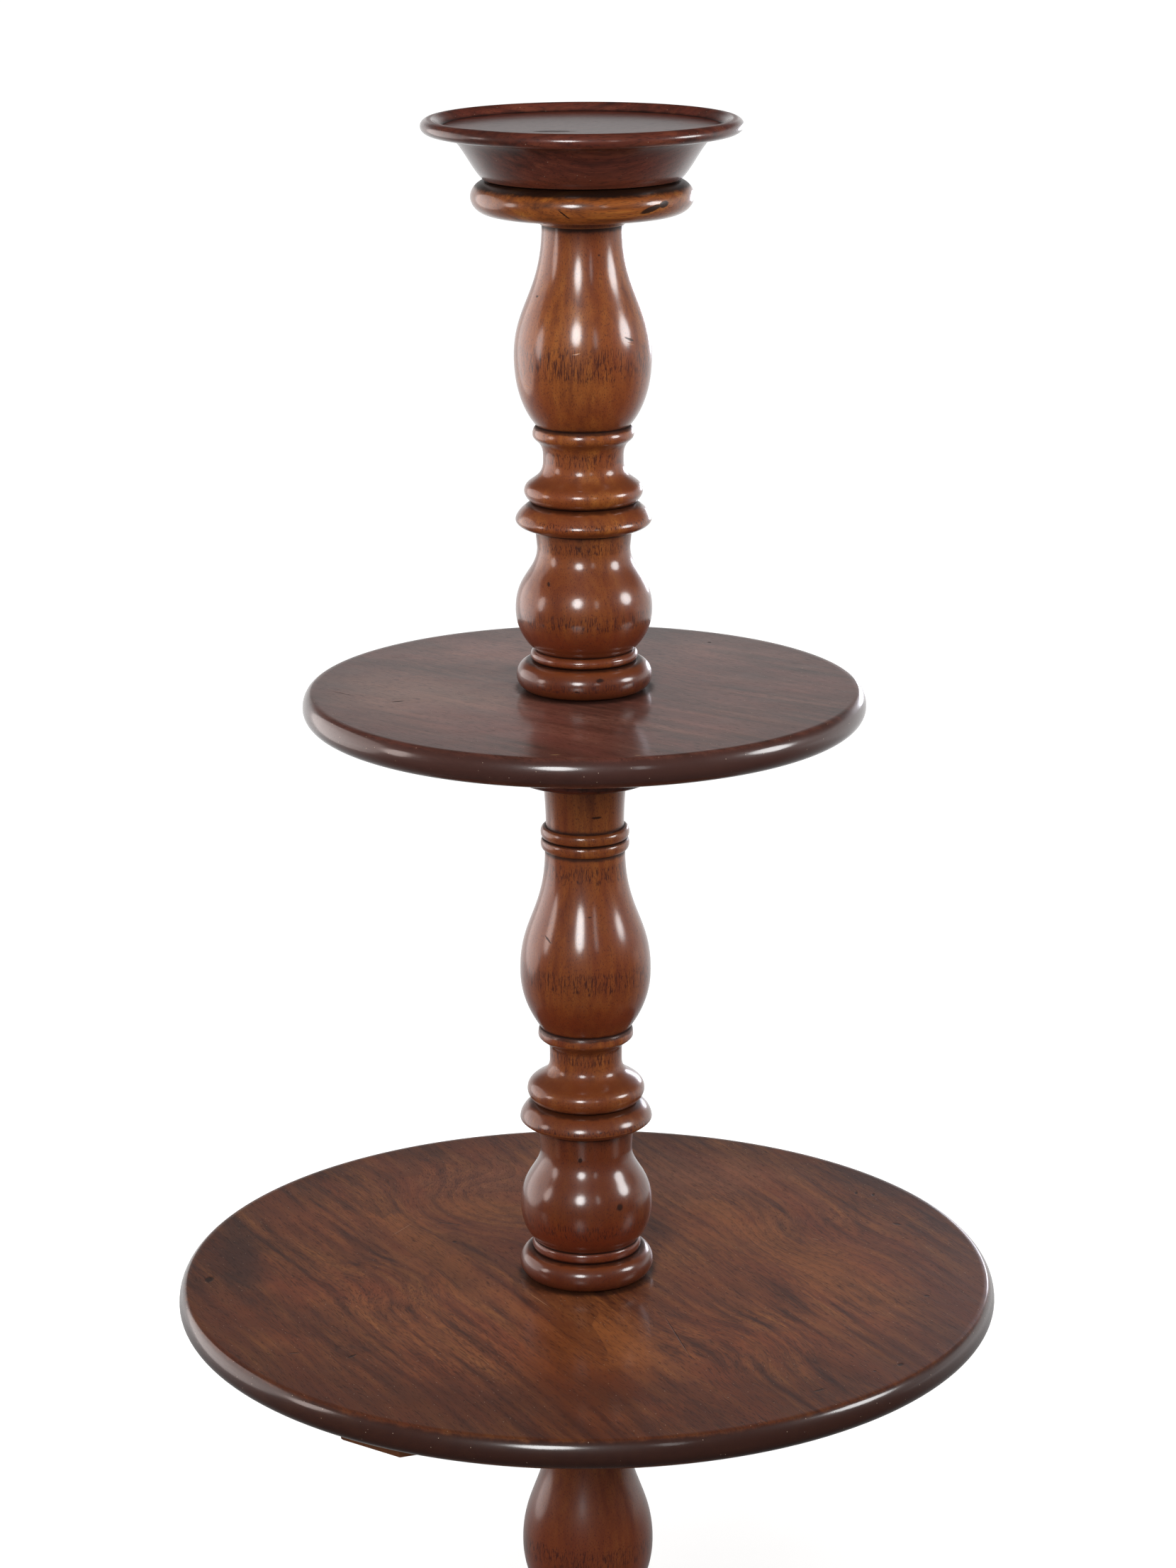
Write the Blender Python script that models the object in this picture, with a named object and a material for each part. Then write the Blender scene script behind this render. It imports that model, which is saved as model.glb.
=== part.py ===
"""Three-tier dumbwaiter: two turning round tiers and a small dish on a ring-and-vase turned column.

The column is three turned sections that plug into each other. Each section's pin passes through the
tier below it, so that the tier turns freely between the two sections. The column stands on a hub with
three cabriole legs, slid up into it on dovetails, and each leg ends in a brass caster.

Metres, +Z up, origin on the floor on the column's axis.
"""

from math import atan2, cos, hypot, pi, radians, sin, sqrt

import bmesh
import bpy
from mathutils import Matrix, Vector

# Clearance between pieces that touch or run on each other, and the overrun of a cutter past a face
FIT = 0.0003
OVERRUN = 0.002

# Tiers: round boards with a half-round edge
LOWER_TIER_D = 0.610
LOWER_TIER_T = 0.0249
LOWER_TIER_UNDER_Z = 0.538
MIDDLE_TIER_D = 0.406
MIDDLE_TIER_T = 0.0218
TIER_BOSS_FOOT_R = 0.052
TIER_BOSS_TOP_R = 0.086
TIER_BOSS_LIP_H = 0.009
TIER_BOSS_TOP_LIP_H = 0.006
TIER_BOSS_H = 0.0453

# Pins and sockets that join the column's sections
PIN_R = 0.0140
PIN_SOCKET_DEPTH = 0.042

# Upper section, from the middle tier up to the capital ring
UPPER_TORUS_R = 0.0488
UPPER_TORUS_ROOT_R = 0.0390
UPPER_TORUS_H = 0.0215
UPPER_FILLET_R = 0.0386
UPPER_FILLET_H = 0.0079
UPPER_BULB_FOOT_R = 0.0345
UPPER_BULB_R = 0.0490
UPPER_BULB_NECK_R = 0.0333
UPPER_BULB_LOW_H = 0.0298
UPPER_BULB_HIGH_H = 0.0451
UPPER_BULB_LIP_R = 0.0345
UPPER_BULB_LIP_H = 0.0129
UPPER_RING_R = 0.0486
UPPER_RING_LOW_H = 0.0072
UPPER_RING_HIGH_H = 0.0122
UPPER_CUP_FOOT_R = 0.0355
UPPER_CUP_R = 0.0423
UPPER_CUP_LOW_H = 0.0081
UPPER_CUP_HIGH_H = 0.0215
UPPER_WAIST_R = 0.0287
UPPER_WAIST_H = 0.0040
UPPER_COLLAR_R = 0.0361
UPPER_COLLAR_LOW_H = 0.0156
UPPER_COLLAR_HIGH_H = 0.0061
UPPER_VASE_FOOT_R = 0.0331
UPPER_VASE_R = 0.0488
UPPER_VASE_LOW_H = 0.0491
UPPER_VASE_HIGH_H = 0.0957
UPPER_NECK_R = 0.0286
UPPER_NECK_FILLET_R = 0.0310
UPPER_NECK_FILLET_H = 0.0045

# Middle section, from the lower tier up to the boss of the middle tier
MIDDLE_TORUS_R = 0.0497
MIDDLE_TORUS_ROOT_R = 0.0410
MIDDLE_TORUS_H = 0.0205
MIDDLE_FILLET_R = 0.0405
MIDDLE_FILLET_H = 0.0080
MIDDLE_BULB_FOOT_R = 0.0385
MIDDLE_BULB_R = 0.0490
MIDDLE_BULB_NECK_R = 0.0340
MIDDLE_BULB_LOW_H = 0.0275
MIDDLE_BULB_HIGH_H = 0.0445
MIDDLE_BULB_LIP_R = 0.0352
MIDDLE_BULB_LIP_H = 0.0162
MIDDLE_RING_R = 0.0489
MIDDLE_RING_LOW_H = 0.0073
MIDDLE_RING_HIGH_H = 0.0133
MIDDLE_CUP_FOOT_R = 0.0360
MIDDLE_CUP_R = 0.0434
MIDDLE_CUP_LOW_H = 0.0087
MIDDLE_CUP_HIGH_H = 0.0226
MIDDLE_WAIST_R = 0.0267
MIDDLE_WAIST_H = 0.0090
MIDDLE_COLLAR_R = 0.0351
MIDDLE_COLLAR_LOW_H = 0.0104
MIDDLE_COLLAR_HIGH_H = 0.0069
MIDDLE_VASE_FOOT_R = 0.0333
MIDDLE_VASE_R = 0.0481
MIDDLE_VASE_LOW_H = 0.0446
MIDDLE_VASE_HIGH_H = 0.0915
MIDDLE_VASE_NECK_R = 0.0293
MIDDLE_REED_R = 0.0324
MIDDLE_REED_ROOT_R = 0.0300
MIDDLE_REED_H = 0.0086
MIDDLE_NECK_R = 0.0285
MIDDLE_NECK_TOP_R = 0.0306
MIDDLE_NECK_H = 0.0358

# Pedestal section, from the hub up to the boss of the lower tier
PEDESTAL_NECK_R = 0.0289
PEDESTAL_NECK_TOP_R = 0.0312
PEDESTAL_NECK_H = 0.0331
PEDESTAL_REED_R = 0.0324
PEDESTAL_REED_ROOT_R = 0.0300
PEDESTAL_REED_H = 0.0086
PEDESTAL_VASE_NECK_R = 0.0293
PEDESTAL_VASE_HIGH_H = 0.0988
PEDESTAL_VASE_R = 0.0496
PEDESTAL_VASE_LOW_H = 0.0460
PEDESTAL_VASE_FOOT_R = 0.0335
PEDESTAL_COLLAR_R = 0.0370
PEDESTAL_COLLAR_LOW_H = 0.0120
PEDESTAL_COLLAR_HIGH_H = 0.0065
PEDESTAL_WAIST_R = 0.0280
PEDESTAL_WAIST_H = 0.0085
PEDESTAL_RING_R = 0.0505
PEDESTAL_RING_ROOT_R = 0.0430
PEDESTAL_RING_H = 0.0200

# Hub under the pedestal section, and the dovetail housings of its legs
HUB_R = 0.0440
HUB_UNDER_Z = 0.128
DOVETAIL_DEPTH = 0.0160
DOVETAIL_NECK_W = 0.0170
DOVETAIL_BACK_W = 0.0230
DOVETAIL_STOP = 0.0160

# Capital ring and the dish that turns on it
CAPITAL_R = 0.0782
CAPITAL_ROOT_R = 0.0640
CAPITAL_H = 0.0238
DISH_PIN_R = 0.0120
DISH_PIN_RISE = 0.0200
DISH_FOOT_R = 0.0698
DISH_FOOT_LIP_R = 0.0722
DISH_FOOT_LIP_H = 0.0026
DISH_FOOT_GAP = 0.0006
DISH_BODY_R = 0.0955
DISH_BODY_H = 0.0310
DISH_RIM_R = 0.1125
DISH_RIM_ROOT_R = 0.1060
DISH_RIM_H = 0.0105
DISH_RIM_INNER_R = 0.0975
DISH_RECESS = 0.0060

# Battens screwed under the lower tier across its grain
BATTEN_ANGLE = radians(20)
BATTEN_OFFSET = 0.1505
BATTEN_W = 0.0430
BATTEN_T = 0.0200
BATTEN_END_R = 0.2655
BATTEN_EDGE = 0.0020
BATTEN_SCREW_SHARES = (-0.72, 0.0, 0.72)

# Wood screws: those of the battens are sunk flush, those of the iron plate have round heads
SCREW_HEAD_R = 0.0046
SCREW_HEAD_H = 0.0030
SCREW_SHANK_R = 0.0022
BATTEN_SCREW_BITE = 0.0130
PLATE_SCREW_BITE = 0.0160

# Legs
LEG_COUNT = 3
FIRST_LEG_ANGLE = radians(90)
LEG_TOP_Z = 0.236
LEG_HUB_W = 0.0440
LEG_TOE_W = 0.0320
LEG_SEAT_L = 0.0300
LEG_TOE_H = 0.0265
LEG_TOE_L = 0.0330
CASTER_PLACE_R = 0.2520
LEG_ROUND_SHARE = 0.24

# Iron plate that ties the legs to the hub from below
PLATE_T = 0.0030
PLATE_DISC_R = 0.0300
PLATE_ARM_W = 0.0200
PLATE_ARM_TIP_GAP = 0.0060
HUB_SCREW_PLACE_R = 0.0180
LEG_SCREW_PLACE_R = 0.0580

# Casters
WHEEL_R = 0.0150
WHEEL_W = 0.0130
WHEEL_EDGE = 0.0022
AXLE_R = 0.0022
AXLE_HEAD_R = 0.0036
AXLE_HEAD_H = 0.0014
CASTER_TRAIL = 0.0120
CHEEK_T = 0.0026
CHEEK_GAP = 0.0007
CHEEK_EYE_R = 0.0060
CROWN_R = 0.0092
CROWN_T = 0.0034
CROWN_GAP = 0.0016
STEM_R = 0.0032
STEM_RISE = 0.0080
CUP_FLOOR_T = 0.0034
CUP_DEPTH = 0.0235
CUP_WALL = 0.0022
CUP_RIM_R = 0.0168
CUP_FOOT_R = 0.0140
CUP_RIM_H = 0.0050

# How finely round forms are divided. Each count round an axis is a multiple of four.
TIER_SEGMENTS = 44
DISH_SEGMENTS = 32
COLUMN_SEGMENTS = 20
CASTER_SEGMENTS = 16
PEG_SEGMENTS = 12
SCREW_SEGMENTS = 8
EDGE_STEPS = 6
BEAD_STEPS = 4
SMALL_BEAD_STEPS = 3
CURVE_STEPS = 5
FLARE_STEPS = 4
NECK_STEPS = 3
ROUND_STEPS = 3
LEG_STEPS = 10

# How the turned curves hold parallel to the axis, as shares of their height
NECK_HOLD_SHARE = 0.50
BELLY_HOLD_SHARE = 0.40
BULB_HOLD_SHARE = 0.55
FLARE_LIFT_SHARE = 0.20
FLARE_SPREAD_SHARE = 0.55
FLARE_HOLD_SHARE = 0.45
RING_LEAD_SHARE = 0.42
RING_CROWN_SHARE = 0.39
CUP_LEAD_SHARE = 0.55
CUP_CROWN_SHARE = 0.30
CUP_SIDE_SHARE = 0.48
WAIST_SHARE = 0.64
COLLAR_LOW_SHARE = 0.70
COLLAR_CROWN_SHARE = 0.42
COLLAR_LEAD_SHARE = 0.55
BOWL_LOW_SHARES = (0.35, 0.35)
BOWL_HIGH_SHARES = (0.60, 0.90)
LEG_KNEE_SHARE = 0.62
LEG_ANKLE_SHARE = 0.46

# Heights that follow from the sizes above
LOWER_TIER_TOP_Z = LOWER_TIER_UNDER_Z + LOWER_TIER_T
PIN_LENGTH_BELOW_TIER = TIER_BOSS_H + PIN_SOCKET_DEPTH
AXLE_Z = WHEEL_R * cos(pi / CASTER_SEGMENTS)
CROWN_UNDER_Z = AXLE_Z + WHEEL_R + CROWN_GAP
CUP_UNDER_Z = CROWN_UNDER_Z + CROWN_T + FIT
PEG_UNDER_Z = CUP_UNDER_Z + CUP_FLOOR_T + FIT
TOE_UNDER_Z = CUP_UNDER_Z + CUP_FLOOR_T + CUP_DEPTH + FIT
PLATE_UNDER_Z = HUB_UNDER_Z - FIT - PLATE_T


class Turning:
    """The outline of a turned piece, drawn up its outside as (radius, height) points."""

    def __init__(self, radius, height):
        self.points = [(radius, height)]

    @property
    def radius(self):
        return self.points[-1][0]

    @property
    def height(self):
        return self.points[-1][1]

    def to(self, radius, rise=0.0):
        """A straight line to a radius, this much higher."""
        self.points.append((radius, self.height + rise))

    def bead(self, crown_r, end_r, rise, steps=BEAD_STEPS):
        """A rounded ring from the present radius out to its crown and back to end_r."""
        start_r, start_z = self.points[-1]
        for step in range(1, steps + 1):
            turn = pi * step / steps
            root_r = start_r if turn < pi / 2 else end_r
            radius = root_r + (crown_r - root_r) * sin(turn)
            self.points.append((radius, start_z + rise * (1 - cos(turn)) / 2))
        self.points[-1] = (end_r, start_z + rise)

    def bezier(self, end_r, rise, near, far, steps):
        """A cubic curve; near and far are its handles as shares of the change in radius and height."""
        start_r, start_z = self.points[-1]
        for step in range(1, steps + 1):
            t = step / steps
            one, two, three = 3 * (1 - t) ** 2 * t, 3 * (1 - t) * t**2, t**3
            across = one * near[0] + two * far[0] + three
            up = one * near[1] + two * far[1] + three
            self.points.append((start_r + (end_r - start_r) * across, start_z + rise * up))

    def swell(self, end_r, rise, start_hold_share, end_hold_share, steps=CURVE_STEPS):
        """An S-curve that leaves and ends parallel to the axis."""
        self.bezier(end_r, rise, (0, start_hold_share), (1, 1 - end_hold_share), steps)

    def flare(self, end_r, rise):
        """The foot of a vase: it leaves at a slope and ends parallel to the axis."""
        near = (FLARE_SPREAD_SHARE, FLARE_LIFT_SHARE)
        self.bezier(end_r, rise, near, (1, 1 - FLARE_HOLD_SHARE), FLARE_STEPS)

    def round_out(self, crown_r, rise, lead_share, crown_share):
        """The underside of a ring: it leaves level and ends parallel to the axis at the crown."""
        self.bezier(crown_r, rise, (lead_share, 0), (1, 1 - crown_share), ROUND_STEPS)

    def round_in(self, end_r, rise, lead_share, crown_share):
        """The top of a ring: it leaves the crown parallel to the axis and ends level."""
        self.bezier(end_r, rise, (0, crown_share), (1 - lead_share, 1), ROUND_STEPS)


def make_material(name, color, roughness, metallic=0.0):
    """A plain Principled BSDF finish."""
    material = bpy.data.materials.new(name)
    material.use_nodes = True
    shader = material.node_tree.nodes["Principled BSDF"]
    shader.inputs["Base Color"].default_value = (*color, 1)
    shader.inputs["Roughness"].default_value = roughness
    shader.inputs["Metallic"].default_value = metallic
    return material


def add_object(name, shape, material, parent=None, location=(0, 0, 0), turn=0.0, smooth=True):
    """Turns a bmesh into a named object with outward faces."""
    bmesh.ops.recalc_face_normals(shape, faces=shape.faces)
    mesh = bpy.data.meshes.new(name)
    shape.to_mesh(mesh)
    shape.free()
    if smooth:
        mesh.shade_smooth()
        mesh.set_sharp_from_angle(angle=radians(40))
    obj = bpy.data.objects.new(name, mesh)
    bpy.context.scene.collection.objects.link(obj)
    if material:
        mesh.materials.append(material)
    obj.parent = parent
    obj.location = location
    obj.rotation_euler = (0, 0, turn)
    return obj


def add_empty(name, location=(0, 0, 0), turn=0.0, parent=None):
    """An empty that stands on a joint's axis and carries the pieces that turn about it."""
    empty = bpy.data.objects.new(name, None)
    bpy.context.scene.collection.objects.link(empty)
    empty.location = location
    empty.rotation_euler = (0, 0, turn)
    empty.parent = parent
    return empty


def spun(points, segments, turn=0.0):
    """A bmesh of revolution about +Z. An outline that never meets the axis is closed into a ring."""
    shape = bmesh.new()
    verts = [shape.verts.new((radius, 0, height)) for radius, height in points]
    edges = [shape.edges.new(pair) for pair in zip(verts, verts[1:])]
    if points[0][0] > 0:
        edges.append(shape.edges.new((verts[-1], verts[0])))
    bmesh.ops.spin(
        shape,
        geom=verts + edges,
        axis=(0, 0, 1),
        cent=(0, 0, 0),
        angle=2 * pi,
        steps=segments,
        use_merge=True,
    )
    bmesh.ops.remove_doubles(shape, verts=shape.verts, dist=FIT / 100)
    if turn:
        bmesh.ops.rotate(shape, verts=shape.verts, cent=(0, 0, 0), matrix=Matrix.Rotation(turn, 3, "Z"))
    return shape


def prism(outline, low, high):
    """A bmesh of a flat outline of (x, y) points, extruded from low to high along +Z."""
    shape = bmesh.new()
    verts = [shape.verts.new((x, y, low)) for x, y in outline]
    face = shape.faces.new(verts)
    new = bmesh.ops.extrude_face_region(shape, geom=[face])["geom"]
    moved = [item for item in new if isinstance(item, bmesh.types.BMVert)]
    bmesh.ops.translate(shape, verts=moved, vec=(0, 0, high - low))
    return shape


def rod(radius, low, high, segments):
    """A bmesh of an upright cylinder on the local axis."""
    return spun([(0, low), (radius, low), (radius, high), (0, high)], segments)


def helper(name, shape, parent=None, location=(0, 0, 0), turn=0.0):
    """A solid that only cuts or joins another, so it isn't rendered."""
    obj = add_object(name, shape, None, parent, location, turn, smooth=False)
    obj.hide_render = True
    obj.display_type = "WIRE"
    return obj


def combine(obj, other, operation):
    """Adds an exact Boolean that cuts or joins a helper."""
    modifier = obj.modifiers.new(operation.lower() + "_" + other.name, "BOOLEAN")
    modifier.object = other
    modifier.operation = operation
    modifier.solver = "EXACT"


def polar(radius, angle, height=0.0):
    return Vector((radius * cos(angle), radius * sin(angle), height))


def leg_angles():
    return [FIRST_LEG_ANGLE + 2 * pi * index / LEG_COUNT for index in range(LEG_COUNT)]


def tier_board(name, diameter, thickness, under_z, material, parent):
    """A round board with a half-round edge and a bore for the pin."""
    edge_r = thickness / 2
    outline = Turning(PIN_R + FIT, 0)
    outline.to(diameter / 2 - edge_r)
    outline.bead(diameter / 2, diameter / 2 - edge_r, thickness, steps=EDGE_STEPS)
    outline.to(PIN_R + FIT)
    return add_object(name, spun(outline.points, TIER_SEGMENTS), material, parent, (0, 0, under_z))


def tier_boss(name, tier_under_z, material, parent):
    """A turned boss glued under a tier: it gives the tier a long bearing on its pin."""
    height = TIER_BOSS_H - 2 * FIT
    outline = Turning(PIN_R + FIT, 0)
    outline.to(TIER_BOSS_FOOT_R - TIER_BOSS_LIP_H / 2)
    outline.bead(TIER_BOSS_FOOT_R, TIER_BOSS_FOOT_R - TIER_BOSS_LIP_H / 2, TIER_BOSS_LIP_H)
    hollow = height - TIER_BOSS_LIP_H - TIER_BOSS_TOP_LIP_H
    outline.swell(TIER_BOSS_TOP_R, hollow, BELLY_HOLD_SHARE, 0, FLARE_STEPS)
    outline.to(TIER_BOSS_TOP_R, TIER_BOSS_TOP_LIP_H)
    outline.to(PIN_R + FIT)
    place = (0, 0, tier_under_z - TIER_BOSS_H + FIT)
    return add_object(name, spun(outline.points, COLUMN_SEGMENTS), material, parent, place)


def start_section(tier_top_z, tier_thickness):
    """The pin at a section's foot: from its end in the socket below up through the tier."""
    end_z = tier_top_z - tier_thickness - PIN_LENGTH_BELOW_TIER + FIT
    outline = Turning(0, end_z)
    outline.to(PIN_R)
    outline.to(PIN_R, tier_top_z + FIT - end_z)
    return outline


def end_in_socket(outline):
    """The top of a section: a flat shoulder and the socket for the pin of the section above."""
    outline.to(PIN_R + FIT)
    outline.to(PIN_R + FIT, -PIN_SOCKET_DEPTH)
    outline.to(0)


def reeds(outline, reed_r, root_r, end_r, rise):
    """Two small beads, one above the other."""
    outline.to(root_r)
    outline.bead(reed_r, root_r, rise, steps=SMALL_BEAD_STEPS)
    outline.bead(reed_r, root_r, rise, steps=SMALL_BEAD_STEPS)
    outline.to(end_r)


def upper_column_outline(tier_top_z):
    outline = start_section(tier_top_z, MIDDLE_TIER_T)
    outline.to(UPPER_TORUS_ROOT_R)
    outline.bead(UPPER_TORUS_R, UPPER_TORUS_ROOT_R, UPPER_TORUS_H - FIT)
    outline.to(UPPER_BULB_FOOT_R)
    outline.bead(UPPER_FILLET_R, UPPER_BULB_FOOT_R, UPPER_FILLET_H, steps=SMALL_BEAD_STEPS)
    outline.flare(UPPER_BULB_R, UPPER_BULB_LOW_H)
    outline.swell(UPPER_BULB_NECK_R, UPPER_BULB_HIGH_H, BULB_HOLD_SHARE, BELLY_HOLD_SHARE)
    outline.to(UPPER_BULB_LIP_R, UPPER_BULB_LIP_H)
    outline.round_out(UPPER_RING_R, UPPER_RING_LOW_H, RING_LEAD_SHARE, RING_CROWN_SHARE)
    outline.round_in(UPPER_CUP_FOOT_R, UPPER_RING_HIGH_H, RING_LEAD_SHARE, RING_CROWN_SHARE)
    outline.round_out(UPPER_CUP_R, UPPER_CUP_LOW_H, CUP_LEAD_SHARE, CUP_CROWN_SHARE)
    outline.swell(UPPER_WAIST_R, UPPER_CUP_HIGH_H, CUP_SIDE_SHARE, WAIST_SHARE, FLARE_STEPS)
    outline.to(UPPER_WAIST_R, UPPER_WAIST_H)
    outline.swell(UPPER_COLLAR_R, UPPER_COLLAR_LOW_H, COLLAR_LOW_SHARE, COLLAR_CROWN_SHARE, ROUND_STEPS)
    outline.round_in(UPPER_VASE_FOOT_R, UPPER_COLLAR_HIGH_H, COLLAR_LEAD_SHARE, COLLAR_CROWN_SHARE)
    outline.flare(UPPER_VASE_R, UPPER_VASE_LOW_H)
    outline.swell(UPPER_NECK_R, UPPER_VASE_HIGH_H, BELLY_HOLD_SHARE, NECK_HOLD_SHARE)
    outline.to(UPPER_NECK_FILLET_R)
    outline.to(UPPER_NECK_FILLET_R, UPPER_NECK_FILLET_H)
    outline.to(DISH_PIN_R)
    outline.to(DISH_PIN_R, CAPITAL_H + 2 * FIT + DISH_FOOT_GAP + DISH_PIN_RISE)
    outline.to(0)
    return outline


def middle_column_outline(tier_top_z):
    outline = start_section(tier_top_z, LOWER_TIER_T)
    outline.to(MIDDLE_TORUS_ROOT_R)
    outline.bead(MIDDLE_TORUS_R, MIDDLE_TORUS_ROOT_R, MIDDLE_TORUS_H - FIT)
    outline.to(MIDDLE_BULB_FOOT_R)
    outline.bead(MIDDLE_FILLET_R, MIDDLE_BULB_FOOT_R, MIDDLE_FILLET_H, steps=SMALL_BEAD_STEPS)
    outline.flare(MIDDLE_BULB_R, MIDDLE_BULB_LOW_H)
    outline.swell(MIDDLE_BULB_NECK_R, MIDDLE_BULB_HIGH_H, BULB_HOLD_SHARE, BELLY_HOLD_SHARE)
    outline.to(MIDDLE_BULB_LIP_R, MIDDLE_BULB_LIP_H)
    outline.round_out(MIDDLE_RING_R, MIDDLE_RING_LOW_H, RING_LEAD_SHARE, RING_CROWN_SHARE)
    outline.round_in(MIDDLE_CUP_FOOT_R, MIDDLE_RING_HIGH_H, RING_LEAD_SHARE, RING_CROWN_SHARE)
    outline.round_out(MIDDLE_CUP_R, MIDDLE_CUP_LOW_H, CUP_LEAD_SHARE, CUP_CROWN_SHARE)
    outline.swell(MIDDLE_WAIST_R, MIDDLE_CUP_HIGH_H, CUP_SIDE_SHARE, WAIST_SHARE, FLARE_STEPS)
    outline.to(MIDDLE_WAIST_R, MIDDLE_WAIST_H)
    outline.swell(MIDDLE_COLLAR_R, MIDDLE_COLLAR_LOW_H, COLLAR_LOW_SHARE, COLLAR_CROWN_SHARE, ROUND_STEPS)
    outline.round_in(MIDDLE_VASE_FOOT_R, MIDDLE_COLLAR_HIGH_H, COLLAR_LEAD_SHARE, COLLAR_CROWN_SHARE)
    outline.flare(MIDDLE_VASE_R, MIDDLE_VASE_LOW_H)
    outline.swell(MIDDLE_VASE_NECK_R, MIDDLE_VASE_HIGH_H, BELLY_HOLD_SHARE, NECK_HOLD_SHARE)
    reeds(outline, MIDDLE_REED_R, MIDDLE_REED_ROOT_R, MIDDLE_NECK_R, MIDDLE_REED_H)
    outline.swell(MIDDLE_NECK_TOP_R, MIDDLE_NECK_H, NECK_HOLD_SHARE, 0, NECK_STEPS)
    end_in_socket(outline)
    return outline


def pedestal_column_outline():
    """The hub and the section on it. The hub's height is what the members above it leave."""
    members = (
        PEDESTAL_RING_H + PEDESTAL_WAIST_H + PEDESTAL_COLLAR_LOW_H + PEDESTAL_COLLAR_HIGH_H
        + PEDESTAL_VASE_LOW_H + PEDESTAL_VASE_HIGH_H + 2 * PEDESTAL_REED_H + PEDESTAL_NECK_H + TIER_BOSS_H
    )
    outline = Turning(0, HUB_UNDER_Z)
    outline.to(HUB_R)
    outline.to(HUB_R, LOWER_TIER_UNDER_Z - members - HUB_UNDER_Z)
    outline.bead(PEDESTAL_RING_R, PEDESTAL_RING_ROOT_R, PEDESTAL_RING_H)
    outline.to(PEDESTAL_WAIST_R)
    outline.to(PEDESTAL_WAIST_R, PEDESTAL_WAIST_H)
    outline.swell(PEDESTAL_COLLAR_R, PEDESTAL_COLLAR_LOW_H, COLLAR_LOW_SHARE, COLLAR_CROWN_SHARE, ROUND_STEPS)
    outline.round_in(PEDESTAL_VASE_FOOT_R, PEDESTAL_COLLAR_HIGH_H, COLLAR_LEAD_SHARE, COLLAR_CROWN_SHARE)
    outline.flare(PEDESTAL_VASE_R, PEDESTAL_VASE_LOW_H)
    outline.swell(PEDESTAL_VASE_NECK_R, PEDESTAL_VASE_HIGH_H, BELLY_HOLD_SHARE, NECK_HOLD_SHARE)
    reeds(outline, PEDESTAL_REED_R, PEDESTAL_REED_ROOT_R, PEDESTAL_NECK_R, PEDESTAL_REED_H)
    outline.swell(PEDESTAL_NECK_TOP_R, PEDESTAL_NECK_H, NECK_HOLD_SHARE, 0, NECK_STEPS)
    end_in_socket(outline)
    return outline


def capital_outline():
    outline = Turning(DISH_PIN_R + FIT, 0)
    outline.to(CAPITAL_ROOT_R)
    outline.bead(CAPITAL_R, CAPITAL_ROOT_R, CAPITAL_H, steps=EDGE_STEPS)
    outline.to(DISH_PIN_R + FIT)
    return outline


def dish_outline():
    """The dish, from its blind socket out over its foot, up its bowl and rim, and in over its floor."""
    outline = Turning(0, DISH_PIN_RISE + FIT)
    outline.to(DISH_PIN_R + FIT)
    outline.to(DISH_PIN_R + FIT, -(DISH_PIN_RISE + FIT))
    outline.to(DISH_FOOT_R)
    outline.to(DISH_FOOT_LIP_R, DISH_FOOT_LIP_H)
    outline.bezier(DISH_BODY_R, DISH_BODY_H - DISH_FOOT_LIP_H, BOWL_LOW_SHARES, BOWL_HIGH_SHARES, FLARE_STEPS)
    outline.to(DISH_RIM_ROOT_R)
    outline.bead(DISH_RIM_R, DISH_RIM_ROOT_R, DISH_RIM_H)
    outline.to(DISH_RIM_INNER_R + DISH_RECESS / 2, -DISH_RECESS / 3)
    outline.to(DISH_RIM_INNER_R, -DISH_RECESS * 2 / 3)
    outline.to(0)
    return outline


def make_column(wood, light_wood):
    """The turned sections and the capital ring, and the heights that the tiers take from them."""
    pedestal = add_object("pedestal_column", spun(pedestal_column_outline().points, COLUMN_SEGMENTS), wood)
    middle = middle_column_outline(LOWER_TIER_TOP_Z)
    middle_top_z = middle.height + PIN_SOCKET_DEPTH
    add_object("middle_column", spun(middle.points, COLUMN_SEGMENTS), wood)
    middle_tier_under_z = middle_top_z + TIER_BOSS_H
    upper = upper_column_outline(middle_tier_under_z + MIDDLE_TIER_T)
    add_object("upper_column", spun(upper.points, COLUMN_SEGMENTS), wood)
    dish_foot_z = upper.height - DISH_PIN_RISE
    capital_z = dish_foot_z - DISH_FOOT_GAP - CAPITAL_H - FIT
    ring = spun(capital_outline().points, DISH_SEGMENTS)
    add_object("capital_ring", ring, light_wood, location=(0, 0, capital_z))
    return pedestal, middle_tier_under_z, dish_foot_z


def make_screw(name, reach, material, parent, place, sunk, low_z):
    """A wood screw that points up: its head is sunk flush at low_z, or round and below it."""
    if sunk:
        points = [(0, 0), (SCREW_HEAD_R, 0), (SCREW_SHANK_R, SCREW_HEAD_H)]
    else:
        points = [
            (0, -SCREW_HEAD_H),
            (SCREW_HEAD_R * sqrt(0.5), -SCREW_HEAD_H * sqrt(0.5)),
            (SCREW_HEAD_R, -FIT),
            (SCREW_SHANK_R, -FIT),
        ]
    points += [(SCREW_SHANK_R, reach - SCREW_SHANK_R), (0, reach)]
    spot = (place.x, place.y, low_z)
    return add_object(name, spun(points, SCREW_SEGMENTS), material, parent, spot)


def sunk_hole(depth):
    """The hole of a sunk screw, clear of it all round."""
    return spun(
        [
            (0, -OVERRUN),
            (SCREW_HEAD_R + FIT + OVERRUN, -OVERRUN),
            (SCREW_HEAD_R + FIT, 0),
            (SCREW_SHANK_R + FIT, SCREW_HEAD_H),
            (SCREW_SHANK_R + FIT, depth),
            (0, depth),
        ],
        SCREW_SEGMENTS,
    )


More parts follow.
